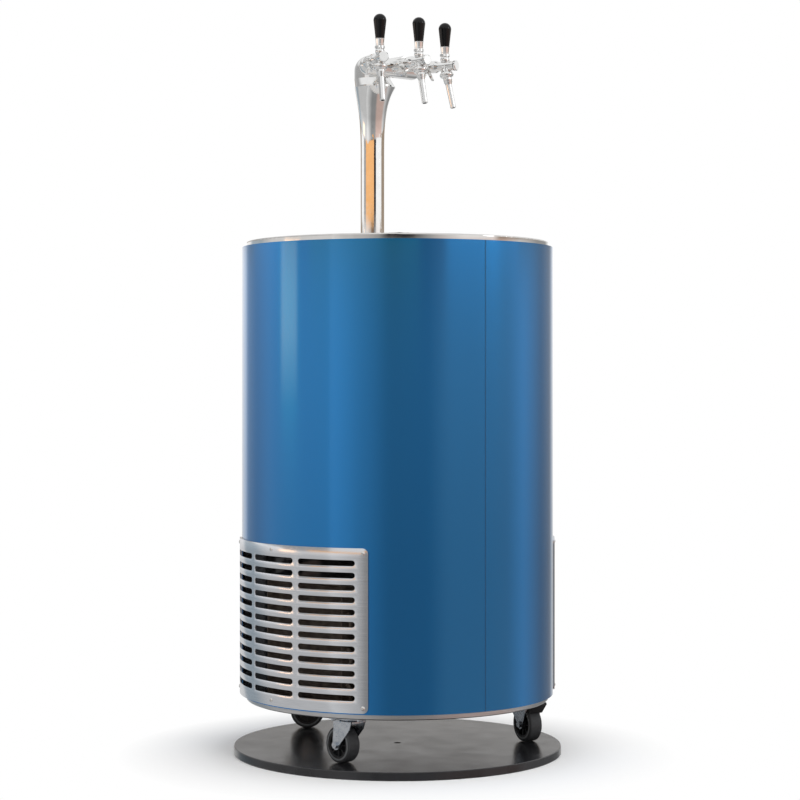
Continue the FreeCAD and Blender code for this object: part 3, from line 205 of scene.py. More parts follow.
def zinc_plated_steel():
    # Pressed steel, bright zinc plated: pale and slightly blue, with soft dull patches
    return finish("zinc_plated_steel", 9, ("AEB4BC", "CDD2D8"), (0.2, 0.38), detail=6.0, relief=0.03,
                  Metallic=1.0)


def pedal_nylon():
    # Glass-filled nylon: black, matt and a little rough
    return finish("pedal_nylon", 1.5, ("0E0E10", "1A1A1C"), (0.42, 0.55), relief=0.03)


def black_board_lacquer():
    # Plywood under black lacquer: satin, with dust and faint scuffs from wheels
    return finish("black_lacquered_plywood", 60, ("1C1C1E", "29292C"), (0.16, 0.26), detail=8.0, relief=0.02,
                  grain=4)


def grey_frame_paint():
    # Powder coat on welded steel: mid grey with a fine pebbled skin
    return finish("grey_powder_coat", 2.5, ("54575B", "606367"), (0.45, 0.55), relief=0.05)


def foam_skin():
    # Moulded polyurethane foam: cream skin, matt and faintly pitted
    return finish("polyurethane_foam", 6, ("D3C79F", "E2D8B6"), (0.75, 0.9), detail=5.0, relief=0.4)


def satin_stainless():
    # Drawn stainless tube and sheet: satin grey with faint drawing lines
    return finish("satin_drawn_stainless", 2, ("B2B3B4", "C6C7C8"), (0.25, 0.35), (30, 30, 1), Metallic=1.0)


def copper_tube():
    # Drawn copper: warm, brown where it has been handled
    return finish("drawn_copper_tube", 20, ("9C5A3C", "C97F58"), (0.25, 0.4), detail=5.0, Metallic=1.0)


def black_abs():
    # Moulded ABS: black with a fine spark-eroded grain
    return finish("black_abs", 0.9, ("161718", "1F2022"), (0.38, 0.48), relief=0.02)


def cast_aluminium():
    # Die-cast aluminium: grey and grainy, not polished
    return finish("die_cast_aluminium", 3, ("7C7E82", "93959A"), (0.4, 0.52), detail=4.0, relief=0.06,
                  Metallic=1.0)


def black_compressor_enamel():
    # Enamelled pressed steel pot: black, half gloss
    return finish("black_pot_enamel", 40, ("101113", "18191C"), (0.25, 0.36), relief=0.03, grain=5)


def condenser_fin_stock():
    # Rolled aluminium fins on copper tube: dark brownish grey, darkened as painted shade of the cabinet's
    # inside behind the grille
    return finish("painted_shade_aluminium_fins", 25, ("584B42", "7E7268"), (0.45, 0.65), detail=6.0, Metallic=0.3)


def grey_abs():
    # Moulded ABS case: light grey with a fine grain
    return finish("grey_abs", 1.0, ("9A9C9B", "A6A8A7"), (0.42, 0.52), relief=0.02)


FINISH_MAKERS = {
    "blue_skin": blue_lacquer,
    "brushed_stainless": brushed_stainless,
    "polished_stainless": polished_stainless,
    "satin_pan": satin_aluminium,
    "chrome": chrome_plate,
    "black_knob": black_phenolic,
    "tyre_rubber": tyre_rubber,
    "tyre_edge": tyre_edge_rubber,
    "wheel_plastic": hub_polypropylene,
    "zinc_steel": zinc_plated_steel,
    "pedal_plastic": pedal_nylon,
    "board_black": black_board_lacquer,
    "frame_steel": grey_frame_paint,
    "foam": foam_skin,
    "bath_steel": satin_stainless,
    "copper": copper_tube,
    "line_plastic": black_abs,
    "motor_grey": cast_aluminium,
    "impeller_steel": satin_stainless,
    "compressor_black": black_compressor_enamel,
    "condenser_fins": condenser_fin_stock,
    "thermostat_grey": grey_abs,
}
made = {maker: maker() for maker in dict.fromkeys(FINISH_MAKERS.values())}
finishes = {slot: made[maker] for slot, maker in FINISH_MAKERS.items()}


def dress_nodes():
    """Gives each CAD node the finish of its slot."""
    for part in frame["record"]["subparts"]:
        node = frame["nodes"][part["node"]]
        node.data.materials.clear()
        node.data.materials.append(finishes[part["material_slot"]])


# Pieces: a bent outline turned about an axis, or bars set round one, on a place in millimetres


def at(x, y, z, turn=0.0, tilt=0.0):
    """Place in millimetres, turned in plan and then tilted about its own level axis."""
    spot = Matrix.Translation(Vector((x, y, z)) * MM)
    return spot @ Matrix.Rotation(math.radians(turn), 4, "Z") @ Matrix.Rotation(math.radians(tilt), 4, "Y")


def on_circle(radius, angle, z, tilt=90.0):
    """Place on a circle about the cabinet's axis, with its own axis pointing outwards."""
    turn = math.radians(angle)
    return at(radius * math.cos(turn), radius * math.sin(turn), z, angle, tilt)


def lathe(bm, outline, place, sides=48, closed=False):
    """Turns an outline of (radius, height) in millimetres about the place's own axis."""
    rings = []
    for radius, height in outline:
        if radius < 1e-6:
            rings.append([bm.verts.new(place @ Vector((0, 0, height * MM)))])
        else:
            rings.append([bm.verts.new(place @ Vector((radius * MM * math.cos(2 * math.pi * i / sides),
                                                       radius * MM * math.sin(2 * math.pi * i / sides),
                                                       height * MM))) for i in range(sides)])
    pairs = list(zip(rings, rings[1:])) + ([(rings[-1], rings[0])] if closed else [])
    for low, high in pairs:
        for i in range(sides):
            j = (i + 1) % sides
            corners = [low[i % len(low)], low[j % len(low)], high[j % len(high)], high[i % len(high)]]
            bm.faces.new(list(dict.fromkeys(corners)))


def bead(radius, height, thick, points=10):
    """Outline of a round cord that lies in a ring."""
    turns = [2 * math.pi * i / points for i in range(points)]
    return [(radius + thick * math.cos(turn), height + thick * math.sin(turn)) for turn in turns]


def bar(bm, place, x, y, z, soft=0.0):
    """Bar between limits in millimetres, with softened corners along its top."""
    low = [bm.verts.new(place @ (Vector((a, b, z[0])) * MM)) for a, b in
           ((x[0], y[0]), (x[1], y[0]), (x[1], y[1]), (x[0], y[1]))]
    mid = [bm.verts.new(place @ (Vector((a, b, z[1] - soft)) * MM)) for a, b in
           ((x[0], y[0]), (x[1], y[0]), (x[1], y[1]), (x[0], y[1]))]
    high = [bm.verts.new(place @ (Vector((a, b, z[1])) * MM)) for a, b in
            ((x[0] + soft, y[0] + soft), (x[1] - soft, y[0] + soft), (x[1] - soft, y[1] - soft),
             (x[0] + soft, y[1] - soft))] if soft else mid
    bm.faces.new(low[::-1])
    bm.faces.new(high)
    for lower, upper in ((low, mid), (mid, high)) if soft else ((low, mid),):
        for i in range(4):
            j = (i + 1) % 4
            bm.faces.new((lower[i], lower[j], upper[j], upper[i]))


SHARP_FROM = math.radians(32)


def smooth(mesh):
    """Shades a mesh smooth, apart from its sharp edges."""
    mesh.polygons.foreach_set("use_smooth", [True] * len(mesh.polygons))
    mesh.set_sharp_from_angle(angle=SHARP_FROM)


def keep(name, bm, slot, body, look=None):
    """Makes the piece: its mesh, its finish, the slot that it takes it from and the body that it rides on."""
    bmesh.ops.recalc_face_normals(bm, faces=bm.faces)
    mesh = bpy.data.meshes.new(name)
    bm.to_mesh(mesh)
    bm.free()
    smooth(mesh)
    mesh.materials.append(look or finishes[slot])
    piece = bpy.data.objects.new(name, mesh)
    scene.collection.objects.link(piece)
    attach(piece, body)
    return piece


# Sizes shared with the CAD, in millimetres and degrees
SKIN_RADIUS = 345.0
SKIN_FOOT, SKIN_TOP = 132.3, 1118.3
PAN_FOOT = 120.3
TAP_HEIGHT = 1526.3
BAR_PLACE = 25.0
TAPS = {"left": (-62.0, 22.5, 84.0), "centre": (0.0, 0.0, 98.0), "right": (62.0, -22.5, 84.0)}
SIDE_REACH = 84.0
SHANK_END = 23.0  # on a side tap
FLOW_PIVOT = 45.8  # on a side tap
FLOW_SIDE = 20.8
NOSE = 30.0  # beyond the lever's axis
SPOUT_TILT = 12.4
BALL_RISE = 14.5
CASTERS = {"front_left": (210.0, 92.0), "front_right": (330.0, 258.0), "rear": (90.0, 140.0)}
BRAKED = ("front_right", "rear")
CASTER_CIRCLE = 282.0
AXLE_HEIGHT = 56.8
AXLE_TRAIL = 28.0
TURNED_SIDES = 48
LEVER_SIDES = 40

# The skin's seam
SEAM_ANGLE = 262.2
SEAM_SINK = 0.2
SEAM_END = 0.4
SEAM_HALF, LIP_HALF = 0.45, 1.7
LIP_RISE, LIP_SOFT = 0.65, 0.25
BEAD_RISE, BEAD_SOFT = 0.35, 0.1

# Turned rings of a tap: place along an axis, radius and thickness
NUT_SEAL = (26.5, 11.7, 0.9)
NOSE_SEAL = (NOSE - 5.6, 10.8, 0.8)
NUT_RINGS = ((17.2, 12.9, 0.75), (23.2, 13.1, 0.75))
NECK_RING = (-22.0, 12.9, 0.75)
SPOUT_RINGS = ((27.2, 9.6, 0.7), (37.3, 9.2, 0.6), (94.9, 6.3, 0.55))
LEVER_RINGS = ((BALL_RISE + 15.6, 8.8, 0.7), (BALL_RISE + 27.6, 9.65, 0.75))
KNOB_RING = (BALL_RISE + 30.2, 9.9, 0.6)
LEVER_RIBS = 30
LEVER_RIB = ((-BALL_RISE - 11.8, -BALL_RISE - 7.2), (-0.45, 0.45), (10.3, 11.05))
LEVER_RIB_SOFT = 0.25
FLOW_SCREW = ((1.2, 0.3), (1.4, 1.2), (3.2, 1.2), (4.0, 0.8), (4.4, 0), (4.4, -0.2))

# A caster's rim, web, bolts and ball race
TYRE_RIM = ((29.6, 15.3), (30.0, 16.1), (31.4, 16.3), (33.2, 16.1), (33.8, 15.2))
WEB_RIBS = 8
WEB_REACH, WEB_HALF, WEB_DEPTH = (10.6, 26.8), (-1.0, 1.0), (5.8, 12.5)
RIM_SIDES, WEB_SIDES = 64, 56
WEB_RING = (13.2, 25.6, 0.8)
BOLT_SPREAD = 29
PLATE_THICK = 3.0
BOLT_HEAD = ((7.0, -0.1), (7.0, 0.8), (5.2, 0.8), (5.2, 4.2), (4.5, 4.8), (0, 4.8))
RACE_RING = (PAN_FOOT - 4.6, 26.6, 1.0)
PEDAL_RIBS, PEDAL_RIB_PITCH, FIRST_PEDAL_RIB = 4, 4.5, 64.0
PEDAL_RIB_HALF, PEDAL_HALF, PEDAL_FACE = 0.9, 14.8, (109.6, 111.2)


def seam():
    # Where the rolled sheet meets itself: two folded lips with a bead of sealant between them
    line = on_circle(SKIN_RADIUS - SEAM_SINK, SEAM_ANGLE, 0)
    length = (-SKIN_TOP + SEAM_END, -SKIN_FOOT - SEAM_END)
    lips = bmesh.new()
    for across in ((-LIP_HALF, -SEAM_HALF), (SEAM_HALF, LIP_HALF)):
        bar(lips, line, length, across, (0, LIP_RISE), LIP_SOFT)
    keep("skin_seam_lips", lips, "blue_skin", "cabinet")
    sealant = bmesh.new()
    bar(sealant, line, length, (-SEAM_HALF, SEAM_HALF), (0, BEAD_RISE), BEAD_SOFT)
    keep("skin_seam_bead", sealant, "line_plastic", "cabinet")


def ring(bm, place, row, start=0.0, sides=TURNED_SIDES):
    """Round cord about a place's own axis, at a distance along it from a start."""
    along, radius, thick = row
    lathe(bm, bead(radius, start + along, thick), place, sides, True)


def tap_trim(name, foot, splay, reach):
    """Rings, ribs and seals of one tap."""
    turn = 270 - splay
    shank_end = SHANK_END + reach - SIDE_REACH
    axis = at(foot, BAR_PLACE, TAP_HEIGHT, turn, 90)
    seals = bmesh.new()
    ring(seals, axis, NUT_SEAL, shank_end)
    ring(seals, axis, NOSE_SEAL, reach)
    keep("tap_seals_" + name, seals, "line_plastic", "cabinet")
    rings = bmesh.new()
    for row in NUT_RINGS:
        ring(rings, axis, row, shank_end)
    ring(rings, axis, NECK_RING, reach)
    angle = math.radians(turn)
    lever = at(foot + reach * math.cos(angle), BAR_PLACE + reach * math.sin(angle), TAP_HEIGHT, turn)
    spout = lever @ Matrix.Rotation(math.radians(180 - SPOUT_TILT), 4, "Y")
    for row in SPOUT_RINGS:
        ring(rings, spout, row, 0.0, LEVER_SIDES)
    keep("tap_rings_" + name, rings, "chrome", "cabinet")
    lever_trim(name, lever)
    flow_screw(name, at(foot, BAR_PLACE, TAP_HEIGHT, turn), FLOW_PIVOT + reach - SIDE_REACH)


def lever_trim(name, lever):
    # Knurled collar and turned rings of the lever, and the ring at the knob's foot
    ribs = bmesh.new()
    for i in range(LEVER_RIBS):
        rib = lever @ Matrix.Rotation(2 * math.pi * i / LEVER_RIBS, 4, "Z")
        bar(ribs, rib @ Matrix.Rotation(math.pi / 2, 4, "Y"), *LEVER_RIB, LEVER_RIB_SOFT)
    for row in LEVER_RINGS:
        ring(ribs, lever, row, 0.0, LEVER_SIDES)
    keep("lever_ribs_" + name, ribs, "chrome", "tap_lever_" + name)
    band = bmesh.new()
    ring(band, lever, KNOB_RING, 0.0, LEVER_SIDES)
    keep("knob_foot_ring_" + name, band, "black_knob", "tap_lever_" + name)


def flow_screw(name, base, pivot):
    # Dished screw on the flow lever's pivot, at the tap's side
    side = base @ Matrix.Translation(Vector((pivot, -FLOW_SIDE, 0)) * MM) @ Matrix.Rotation(math.pi / 2, 4, "X")
    screw = bmesh.new()
    lathe(screw, FLOW_SCREW, side, 32)
    lathe(screw, [(0, FLOW_SCREW[0][1]), FLOW_SCREW[0]], side, 32)
    bmesh.ops.remove_doubles(screw, verts=screw.verts, dist=1e-6)
    keep("flow_screw_" + name, screw, "chrome", "flow_lever_" + name)


def caster_place(angle, turn):
    """Foot of a caster's swivel axis, turned in plan."""
    way = math.radians(angle)
    return at(CASTER_CIRCLE * math.cos(way), CASTER_CIRCLE * math.sin(way), 0, turn)


def caster_trim(name, angle, trail):
    """Rim rings, web ribs and rings, bolts and ball race of one caster."""
    axle = caster_place(angle, trail) @ Matrix.Translation(Vector((AXLE_TRAIL, 0, AXLE_HEIGHT)) * MM)
    axle = axle @ Matrix.Rotation(math.pi / 2, 4, "X")
    rings = bmesh.new()
    ribs = bmesh.new()
    for side in (-1, 1):
        lathe(rings, [(radius, side * width) for radius, width in TYRE_RIM], axle, RIM_SIDES)
        for i in range(WEB_RIBS):
            spoke = axle @ Matrix.Rotation(2 * math.pi * i / WEB_RIBS, 4, "Z")
            bar(ribs, spoke, WEB_REACH, WEB_HALF, sorted(side * depth for depth in WEB_DEPTH))
        width, radius, thick = WEB_RING
        ring(ribs, axle, (side * width, radius, thick), 0.0, WEB_SIDES)
    keep("tyre_rim_rings_" + name, rings, "tyre_rubber", "caster_wheel_" + name, finishes["tyre_edge"])
    keep("wheel_ribs_" + name, ribs, "wheel_plastic", "caster_wheel_" + name)
    bolts = bmesh.new()
    plate = caster_place(angle, angle)
    for x in (-BOLT_SPREAD, BOLT_SPREAD):
        for y in (-BOLT_SPREAD, BOLT_SPREAD):
            head = plate @ Matrix.Translation(Vector((x, y, PAN_FOOT - PLATE_THICK)) * MM)
            lathe(bolts, BOLT_HEAD, head @ Matrix.Rotation(math.pi, 4, "X"), 6)
    ring(bolts, caster_place(angle, 0), RACE_RING, 0.0, WEB_SIDES)
    keep("caster_bolts_" + name, bolts, "zinc_steel", "cabinet")


def pedal_ribs(name, angle, trail):
    # Moulded grip ribs across the pedal's toe
    ribs = bmesh.new()
    for i in range(PEDAL_RIBS):
        x = FIRST_PEDAL_RIB + PEDAL_RIB_PITCH * i
        across = (-PEDAL_HALF, PEDAL_HALF)
        bar(ribs, caster_place(angle, trail), (x - PEDAL_RIB_HALF, x + PEDAL_RIB_HALF), across, PEDAL_FACE, 0.5)
    keep("pedal_ribs_" + name, ribs, "pedal_plastic", "brake_pedal_" + name)


def rod(bm, points, radius, sides=8, closed=False):
    """Round rod of one radius through points in millimetres."""
    spots = [Vector(p) * MM for p in points]
    count = len(spots)
    rings = []
    across = None
    for i, spot in enumerate(spots):
        before = spots[i - 1] if i or closed else spot
        after = spots[(i + 1) % count] if i < count - 1 or closed else spot
        along = (after - before).normalized()
        across = (across or along.orthogonal())
        across = (across - along * across.dot(along)).normalized()
        up = along.cross(across)
        rings.append([bm.verts.new(spot + radius * MM * (across * math.cos(2 * math.pi * k / sides)
                                                         + up * math.sin(2 * math.pi * k / sides)))
                      for k in range(sides)])
    for low, high in list(zip(rings, rings[1:])) + ([(rings[-1], rings[0])] if closed else []):
        for k in range(sides):
            j = (k + 1) % sides
            bm.faces.new((low[k], low[j], high[j], high[k]))
    if not closed:
        bm.faces.new(rings[0][::-1])
        bm.faces.new(rings[-1])


# Sizes of one grille, in millimetres and degrees
GRILLE_RADIUS = 350.0
GRILLE_SHEET = 1.5
GRILLE_FOOT, GRILLE_TOP = 135.3, 477.3
GRILLE_HALF = 40.0
GRILLE_CORNER = 12.0
SLOT_HALF_ANGLE = 11.0
SLOT_HALF = 6.0
CELL_HALF_ANGLE = 12.2
SLOT_PITCH = 25.4
SLOT_ROWS = 12
SLOT_COLUMNS = (-1, 0, 1)
SLOT_STEPS = 6  # of a straight half
CORNER_STEPS = 6
EDGE_CLEAR = 0.4  # between the turned edge and the skin
GRILLES = {"grille_left": 180.0, "grille_right": 0.0}
GRILLE_SCREW_ANGLES = (-38.17, 0.0, 38.17)
GRILLE_SCREW_INSET = 11.0
PAN_HEAD = ((4.5, -0.3), (4.5, 0.1), (3.8, 0.85), (3.0, 1.49), (2.2, 1.93), (1.7, 2.13), (1.5, 0.9), (0, 0.9))


def screw_heads():
    # Pan heads with a socket, three along each long edge of both grilles
    heads = bmesh.new()
    for middle in GRILLES.values():
        for angle in GRILLE_SCREW_ANGLES:
            for z in (GRILLE_FOOT + GRILLE_SCREW_INSET, GRILLE_TOP - GRILLE_SCREW_INSET):
                lathe(heads, PAN_HEAD, on_circle(GRILLE_RADIUS, middle + angle, z), 28)
    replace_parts(keep("grille_screw_heads", heads, "polished_stainless", "cabinet"), "grille_screws")


def slot_lines(straight, reach, half):
    """A slot's outline, and the outline of the cell round it, point for point."""
    steps = [straight * (i / SLOT_STEPS - 1) for i in range(2 * SLOT_STEPS + 1)]
    sides = [half, SLOT_HALF, 0.0, -SLOT_HALF, -half]
    hole = [(s, SLOT_HALF) for s in steps]
    cell = [(s, half) for s in steps]
    for i, z in enumerate(sides, 1):
        bend = math.radians(90 - 30 * i)
        hole.append((straight + SLOT_HALF * math.cos(bend), SLOT_HALF * math.sin(bend)))
        cell.append((reach, z))
    return steps, sides, hole + [(-s, -z) for s, z in hole], cell + [(-s, -z) for s, z in cell]


def thicken(piece):
    """Gives a sheet its thickness and softens its edges, in its mesh."""
    thick = piece.modifiers.new("sheet", "SOLIDIFY")
    thick.thickness, thick.offset = GRILLE_SHEET * MM, -1.0
    soft = piece.modifiers.new("edges", "BEVEL")
    soft.width, soft.segments, soft.limit_method = 0.25 * MM, 2, "ANGLE"
    piece.data = bpy.data.meshes.new_from_object(piece.evaluated_get(bpy.context.evaluated_depsgraph_get()))
    piece.modifiers.clear()
    smooth(piece.data)


def turn_edge_back(bm, slots):
    """Turns the sheet's outer edge, but not its slots, back to the skin."""
    rim = [e for e in bm.edges if e.is_boundary and not (e.verts[0] in slots and e.verts[1] in slots)]
    shrink = (SKIN_RADIUS + EDGE_CLEAR) / GRILLE_RADIUS
    for vert in bmesh.ops.extrude_edge_only(bm, edges=rim)["geom"]:
        if isinstance(vert, bmesh.types.BMVert):
            vert.co.x, vert.co.y = vert.co.x * shrink, vert.co.y * shrink


def grille(name, middle):
    # Bent sheet with three columns of round-ended slots, rounded corners and edges turned back to the skin
    arc = GRILLE_RADIUS * math.pi / 180
    reach, straight = CELL_HALF_ANGLE * arc, SLOT_HALF_ANGLE * arc - SLOT_HALF
    edge, half = GRILLE_HALF * arc, SLOT_PITCH / 2
    first = (GRILLE_FOOT + GRILLE_TOP) / 2 - (SLOT_ROWS - 1) / 2 * SLOT_PITCH
    bm = bmesh.new()
    spots = {}
    turn = math.radians(middle)

    def spot(s, z):
        key = (round(s, 2), round(z, 2))
        if key not in spots:
            angle = turn + s / GRILLE_RADIUS
            radius = GRILLE_RADIUS * MM
            spots[key] = bm.verts.new((radius * math.cos(angle), radius * math.sin(angle), z * MM))
        return spots[key]

    steps, sides, hole, cell = slot_lines(straight, reach, half)
    count = len(hole)
    columns = [2 * reach * column for column in SLOT_COLUMNS]
    for column in columns:
        for row in range(SLOT_ROWS):
            z0 = first + row * SLOT_PITCH
            inner = [spot(column + s, z0 + z) for s, z in hole]
            outer = [spot(column + s, z0 + z) for s, z in cell]
            for i in range(count):
                j = (i + 1) % count
                bm.faces.new((inner[i], inner[j], outer[j], outer[i]))
    low, high = first - half, first + (SLOT_ROWS - 0.5) * SLOT_PITCH
    across = sorted({round(column + s, 2) for column in columns for s in [-reach, reach] + steps})
    for s0, s1 in zip(across, across[1:]):
        bm.faces.new((spot(s0, GRILLE_FOOT), spot(s1, GRILLE_FOOT), spot(s1, low), spot(s0, low)))
        bm.faces.new((spot(s0, high), spot(s1, high), spot(s1, GRILLE_TOP), spot(s0, GRILLE_TOP)))
    up = sorted({round(first + row * SLOT_PITCH + z, 2) for row in range(SLOT_ROWS) for z in sides})
    for side in (-1, 1):
        near, far = side * 3 * reach, side * edge
        for z0, z1 in zip(up, up[1:]):
            bm.faces.new((spot(near, z0), spot(far, z0), spot(far, z1), spot(near, z1)))
        for z, end, way in ((low, GRILLE_FOOT, -1), (high, GRILLE_TOP, 1)):
            fan = [spot(far, z)]
            for i in range(CORNER_STEPS + 1):
                bend = math.pi / 2 * i / CORNER_STEPS
                fan.append(spot(far - side * GRILLE_CORNER * (1 - math.cos(bend)),
                                end - way * GRILLE_CORNER * (1 - math.sin(bend))))
            fan.append(spot(near, end))
            for a, b in zip(fan, fan[1:]):
                bm.faces.new((spot(near, z), a, b))
    bmesh.ops.recalc_face_normals(bm, faces=bm.faces)
    outward = Vector((math.cos(turn), math.sin(turn), 0))
    if sum(face.normal.dot(outward) for face in bm.faces) < 0:
        bmesh.ops.reverse_faces(bm, faces=bm.faces)
    slots = {spot(column + s, first + row * SLOT_PITCH + z) for column in columns for row in range(SLOT_ROWS)
             for s, z in hole}
    turn_edge_back(bm, slots)
    piece = keep(name + "_sheet", bm, "brushed_stainless", "cabinet")
    thicken(piece)
    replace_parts(piece, name)


# The condenser behind the left grille
PACK_X = (-262.0, -206.0)
PACK_Z = (122.8, 392.8)
PACK_HALF = 130.0
FINS, FIN_PITCH, FIN_HALF = 100, 2.6, 0.25
END_PLATE_HALF, SHELL = 0.8, 1.5
FIN_INSET, FIN_CLEAR = 2, 4
TUBE_ROWS, TUBE_PITCH, FIRST_TUBE = 7, 37.5, 145.0
TUBE_COLUMNS = (-248.0, -220.0)
TUBE_RADIUS = 4.75
TUBE_END = PACK_HALF + 1.0
BEND_REACH, BEND_STEPS = 13.0, 12

# The service door, the beer connectors, the mains inlet and the column's foot, at the back
DOOR_ANGLES = (60.0, 120.0)
DOOR_HEIGHTS = (451.0, 889.0)  # above the skin's foot
SEAL_INSET, SEAL_SINK, SEAL_RADIUS, SEAL_STEPS = 1.0, 2.2, 0.85, 40
INLET_ANGLES = (80.0, 90.0, 100.0)
INLET_HEIGHT, THREADS, THREAD_PITCH, THREAD_RING = 330.0, 5, 2.3, (5.2, 11.35, 0.6)
MAINS_HEIGHT, MAINS_STAND, MAINS_SCREW_HALF = 80.0, 3.0, 26.0
FOOT_SCREW_CIRCLE, FOOT_TOP, COLUMN_Y = 35.5, 1126.3, 88.0
FOOT_SCREW = ((4.0, -0.3), (4.0, 0.4), (3.2, 1.5), (2.2, 2.0), (1.7, 2.1), (1.5, 0.9), (0, 0.9))
SMALL_SCREW = 0.7  # of a foot screw


def condenser_pack():
    # Fins pressed on copper tube between two end plates, standing on the pan behind the left grille
    fins = bmesh.new()
    flat = at(0, 0, 0)
    low, high = PACK_Z
    for i in range(FINS):
        y = FIN_PITCH * (i - (FINS - 1) / 2)
        across = (PACK_X[0] + FIN_INSET, PACK_X[1] - FIN_INSET)
        bar(fins, flat, across, (y - FIN_HALF, y + FIN_HALF), (low + FIN_CLEAR, high - FIN_CLEAR))
    for y in (-PACK_HALF, PACK_HALF):
        bar(fins, flat, PACK_X, (y - END_PLATE_HALF, y + END_PLATE_HALF), PACK_Z)
    for z in (low, high - SHELL):
        bar(fins, flat, PACK_X, (-PACK_HALF, PACK_HALF), (z, z + SHELL))
    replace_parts(keep("condenser_fin_pack", fins, "condenser_fins", "cabinet"), "condenser")
    tubes = bmesh.new()
    half = TUBE_PITCH / 2
    for x in TUBE_COLUMNS:
        for row in range(TUBE_ROWS):
            z = FIRST_TUBE + TUBE_PITCH * row
            rod(tubes, [(x, y, z) for y in (-TUBE_END, TUBE_END)], TUBE_RADIUS)
            if row < TUBE_ROWS - 1:
                side = 1 if row % 2 else -1
                turns = [math.pi * i / BEND_STEPS for i in range(BEND_STEPS + 1)]
                bend = [(x, side * (TUBE_END + BEND_REACH * math.sin(turn)), z + half - half * math.cos(turn))
                        for turn in turns]
                rod(tubes, bend, TUBE_RADIUS, 10)
    # The copper tubes take the fins' dark brownish grey too: painted shade in place of copper
    keep("condenser_tubes", tubes, "condenser_fins", "cabinet")


def door_seal():
    # Rubber cord that lies in the gap round the service door
    inset = math.degrees(SEAL_INSET / SKIN_RADIUS)
    low, high = DOOR_ANGLES[0] + inset, DOOR_ANGLES[1] - inset
    radius = SKIN_RADIUS - SEAL_SINK
    path = []
    for height, start, end in ((DOOR_HEIGHTS[0], low, high), (DOOR_HEIGHTS[1], high, low)):
        for i in range(SEAL_STEPS + 1):
            angle = math.radians(start + (end - start) * i / SEAL_STEPS)
            path.append((radius * math.cos(angle), radius * math.sin(angle), SKIN_FOOT + height))
    cord = bmesh.new()
    rod(cord, path, SEAL_RADIUS, 8, True)
    keep("door_seal", cord, "line_plastic", "cabinet")


def inlet_threads():
    # Threads on the three beer connectors
    threads = bmesh.new()
    for angle in INLET_ANGLES:
        for i in range(THREADS):
            place = on_circle(SKIN_RADIUS, angle, SKIN_FOOT + INLET_HEIGHT)
            ring(threads, place, THREAD_RING, THREAD_PITCH * i, LEVER_SIDES)
    keep("inlet_threads", threads, "polished_stainless", "cabinet")


def back_screws():
    # Screws of the mains inlet and of the column's foot
    screws = bmesh.new()
    small = [(SMALL_SCREW * radius, SMALL_SCREW * height) for radius, height in FOOT_SCREW]
    place = on_circle(SKIN_RADIUS + MAINS_STAND, 90.0, SKIN_FOOT + MAINS_HEIGHT)
    for side in (-1, 1):
        lathe(screws, small, place @ Matrix.Translation((0, side * MAINS_SCREW_HALF * MM, 0)), 24)
    for i in range(4):
        turn = math.radians(45 + 90 * i)
        x, y = FOOT_SCREW_CIRCLE * math.cos(turn), COLUMN_Y + FOOT_SCREW_CIRCLE * math.sin(turn)
        lathe(screws, FOOT_SCREW, at(x, y, FOOT_TOP), 28)
    keep("foot_and_inlet_screws", screws, "polished_stainless", "cabinet")


def add_pieces():
    seam()
    for name, (foot, splay, reach) in TAPS.items():
        tap_trim(name, foot, splay, reach)
    for name, (angle, trail) in CASTERS.items():
        caster_trim(name, angle, trail)
        if name in BRAKED:
            pedal_ribs(name, angle, trail)
    for name, middle in GRILLES.items():
        grille(name, middle)
    screw_heads()
    condenser_pack()
    door_seal()
    inlet_threads()
    back_screws()


# Studio: a pale floor, a pale room and three soft lamps


SHADOW_FADE = (0.40, 0.62)  # distances from the middle between which the shadow fades into white
FLOOR_HALF = 30.0


def floor_paper():
    # Seamless white paper: plain, and it keeps the shadow under the board
    material = bpy.data.materials.new("seamless_paper")
    material.use_nodes = True
    tree = material.node_tree
    feed(tree, tree.nodes["Principled BSDF"], {"Base Color": linear("F4F4F4"), "Roughness": 0.9})
    place = add(tree, "TexCoord").outputs["Object"]
    far = add(tree, "VectorMath", {0: place}, operation="LENGTH").outputs["Value"]
    fade = {"Value": far, "From Min": SHADOW_FADE[0], "From Max": SHADOW_FADE[1]}
    away = add(tree, "MapRange", fade).outputs["Result"]
    path = add(tree, "LightPath").outputs
    ends = {0: path["Is Glossy Ray"], 1: path["Is Transmission Ray"]}
    mirrored = add(tree, "Math", ends, operation="MAXIMUM")
    seen = add(tree, "Math", {0: path["Is Camera Ray"], 1: mirrored.outputs[0]}, operation="MAXIMUM")
    white = add(tree, "Math", {0: away, 1: seen.outputs[0]}, operation="MULTIPLY").outputs[0]
    glow = add(tree, "Emission", {"Color": linear("FFFFFF"), "Strength": 1.0}).outputs[0]
    mixed = add(tree, "MixShader", {0: white, 1: tree.nodes["Principled BSDF"].outputs[0], 2: glow})
    tree.links.new(mixed.outputs[0], tree.nodes["Material Output"].inputs["Surface"])
    return material


def lay_floor():
    mesh = bpy.data.meshes.new("floor")
    corners = [(x * FLOOR_HALF, y * FLOOR_HALF, 0) for x, y in ((-1, -1), (1, -1), (1, 1), (-1, 1))]
    mesh.from_pydata(corners, [], [(0, 1, 2, 3)])
    floor = bpy.data.objects.new("floor", mesh)
    scene.collection.objects.link(floor)
    mesh.materials.append(floor_paper())
    floor.visible_glossy = False


# The studio's panels: white and pale paper, grey and black flags, a rose wall, a cool screen and two dyed
# cloths
PANELS = {"white": "FFFFFF", "pale": "E4E4E4", "grey": "A4A4A4", "black": "2A2C30", "rose": "E0C4BA",
          "cool": "B4C0C8", "amber": "FFC080", "taupe": "A09080", "none": "000000"}
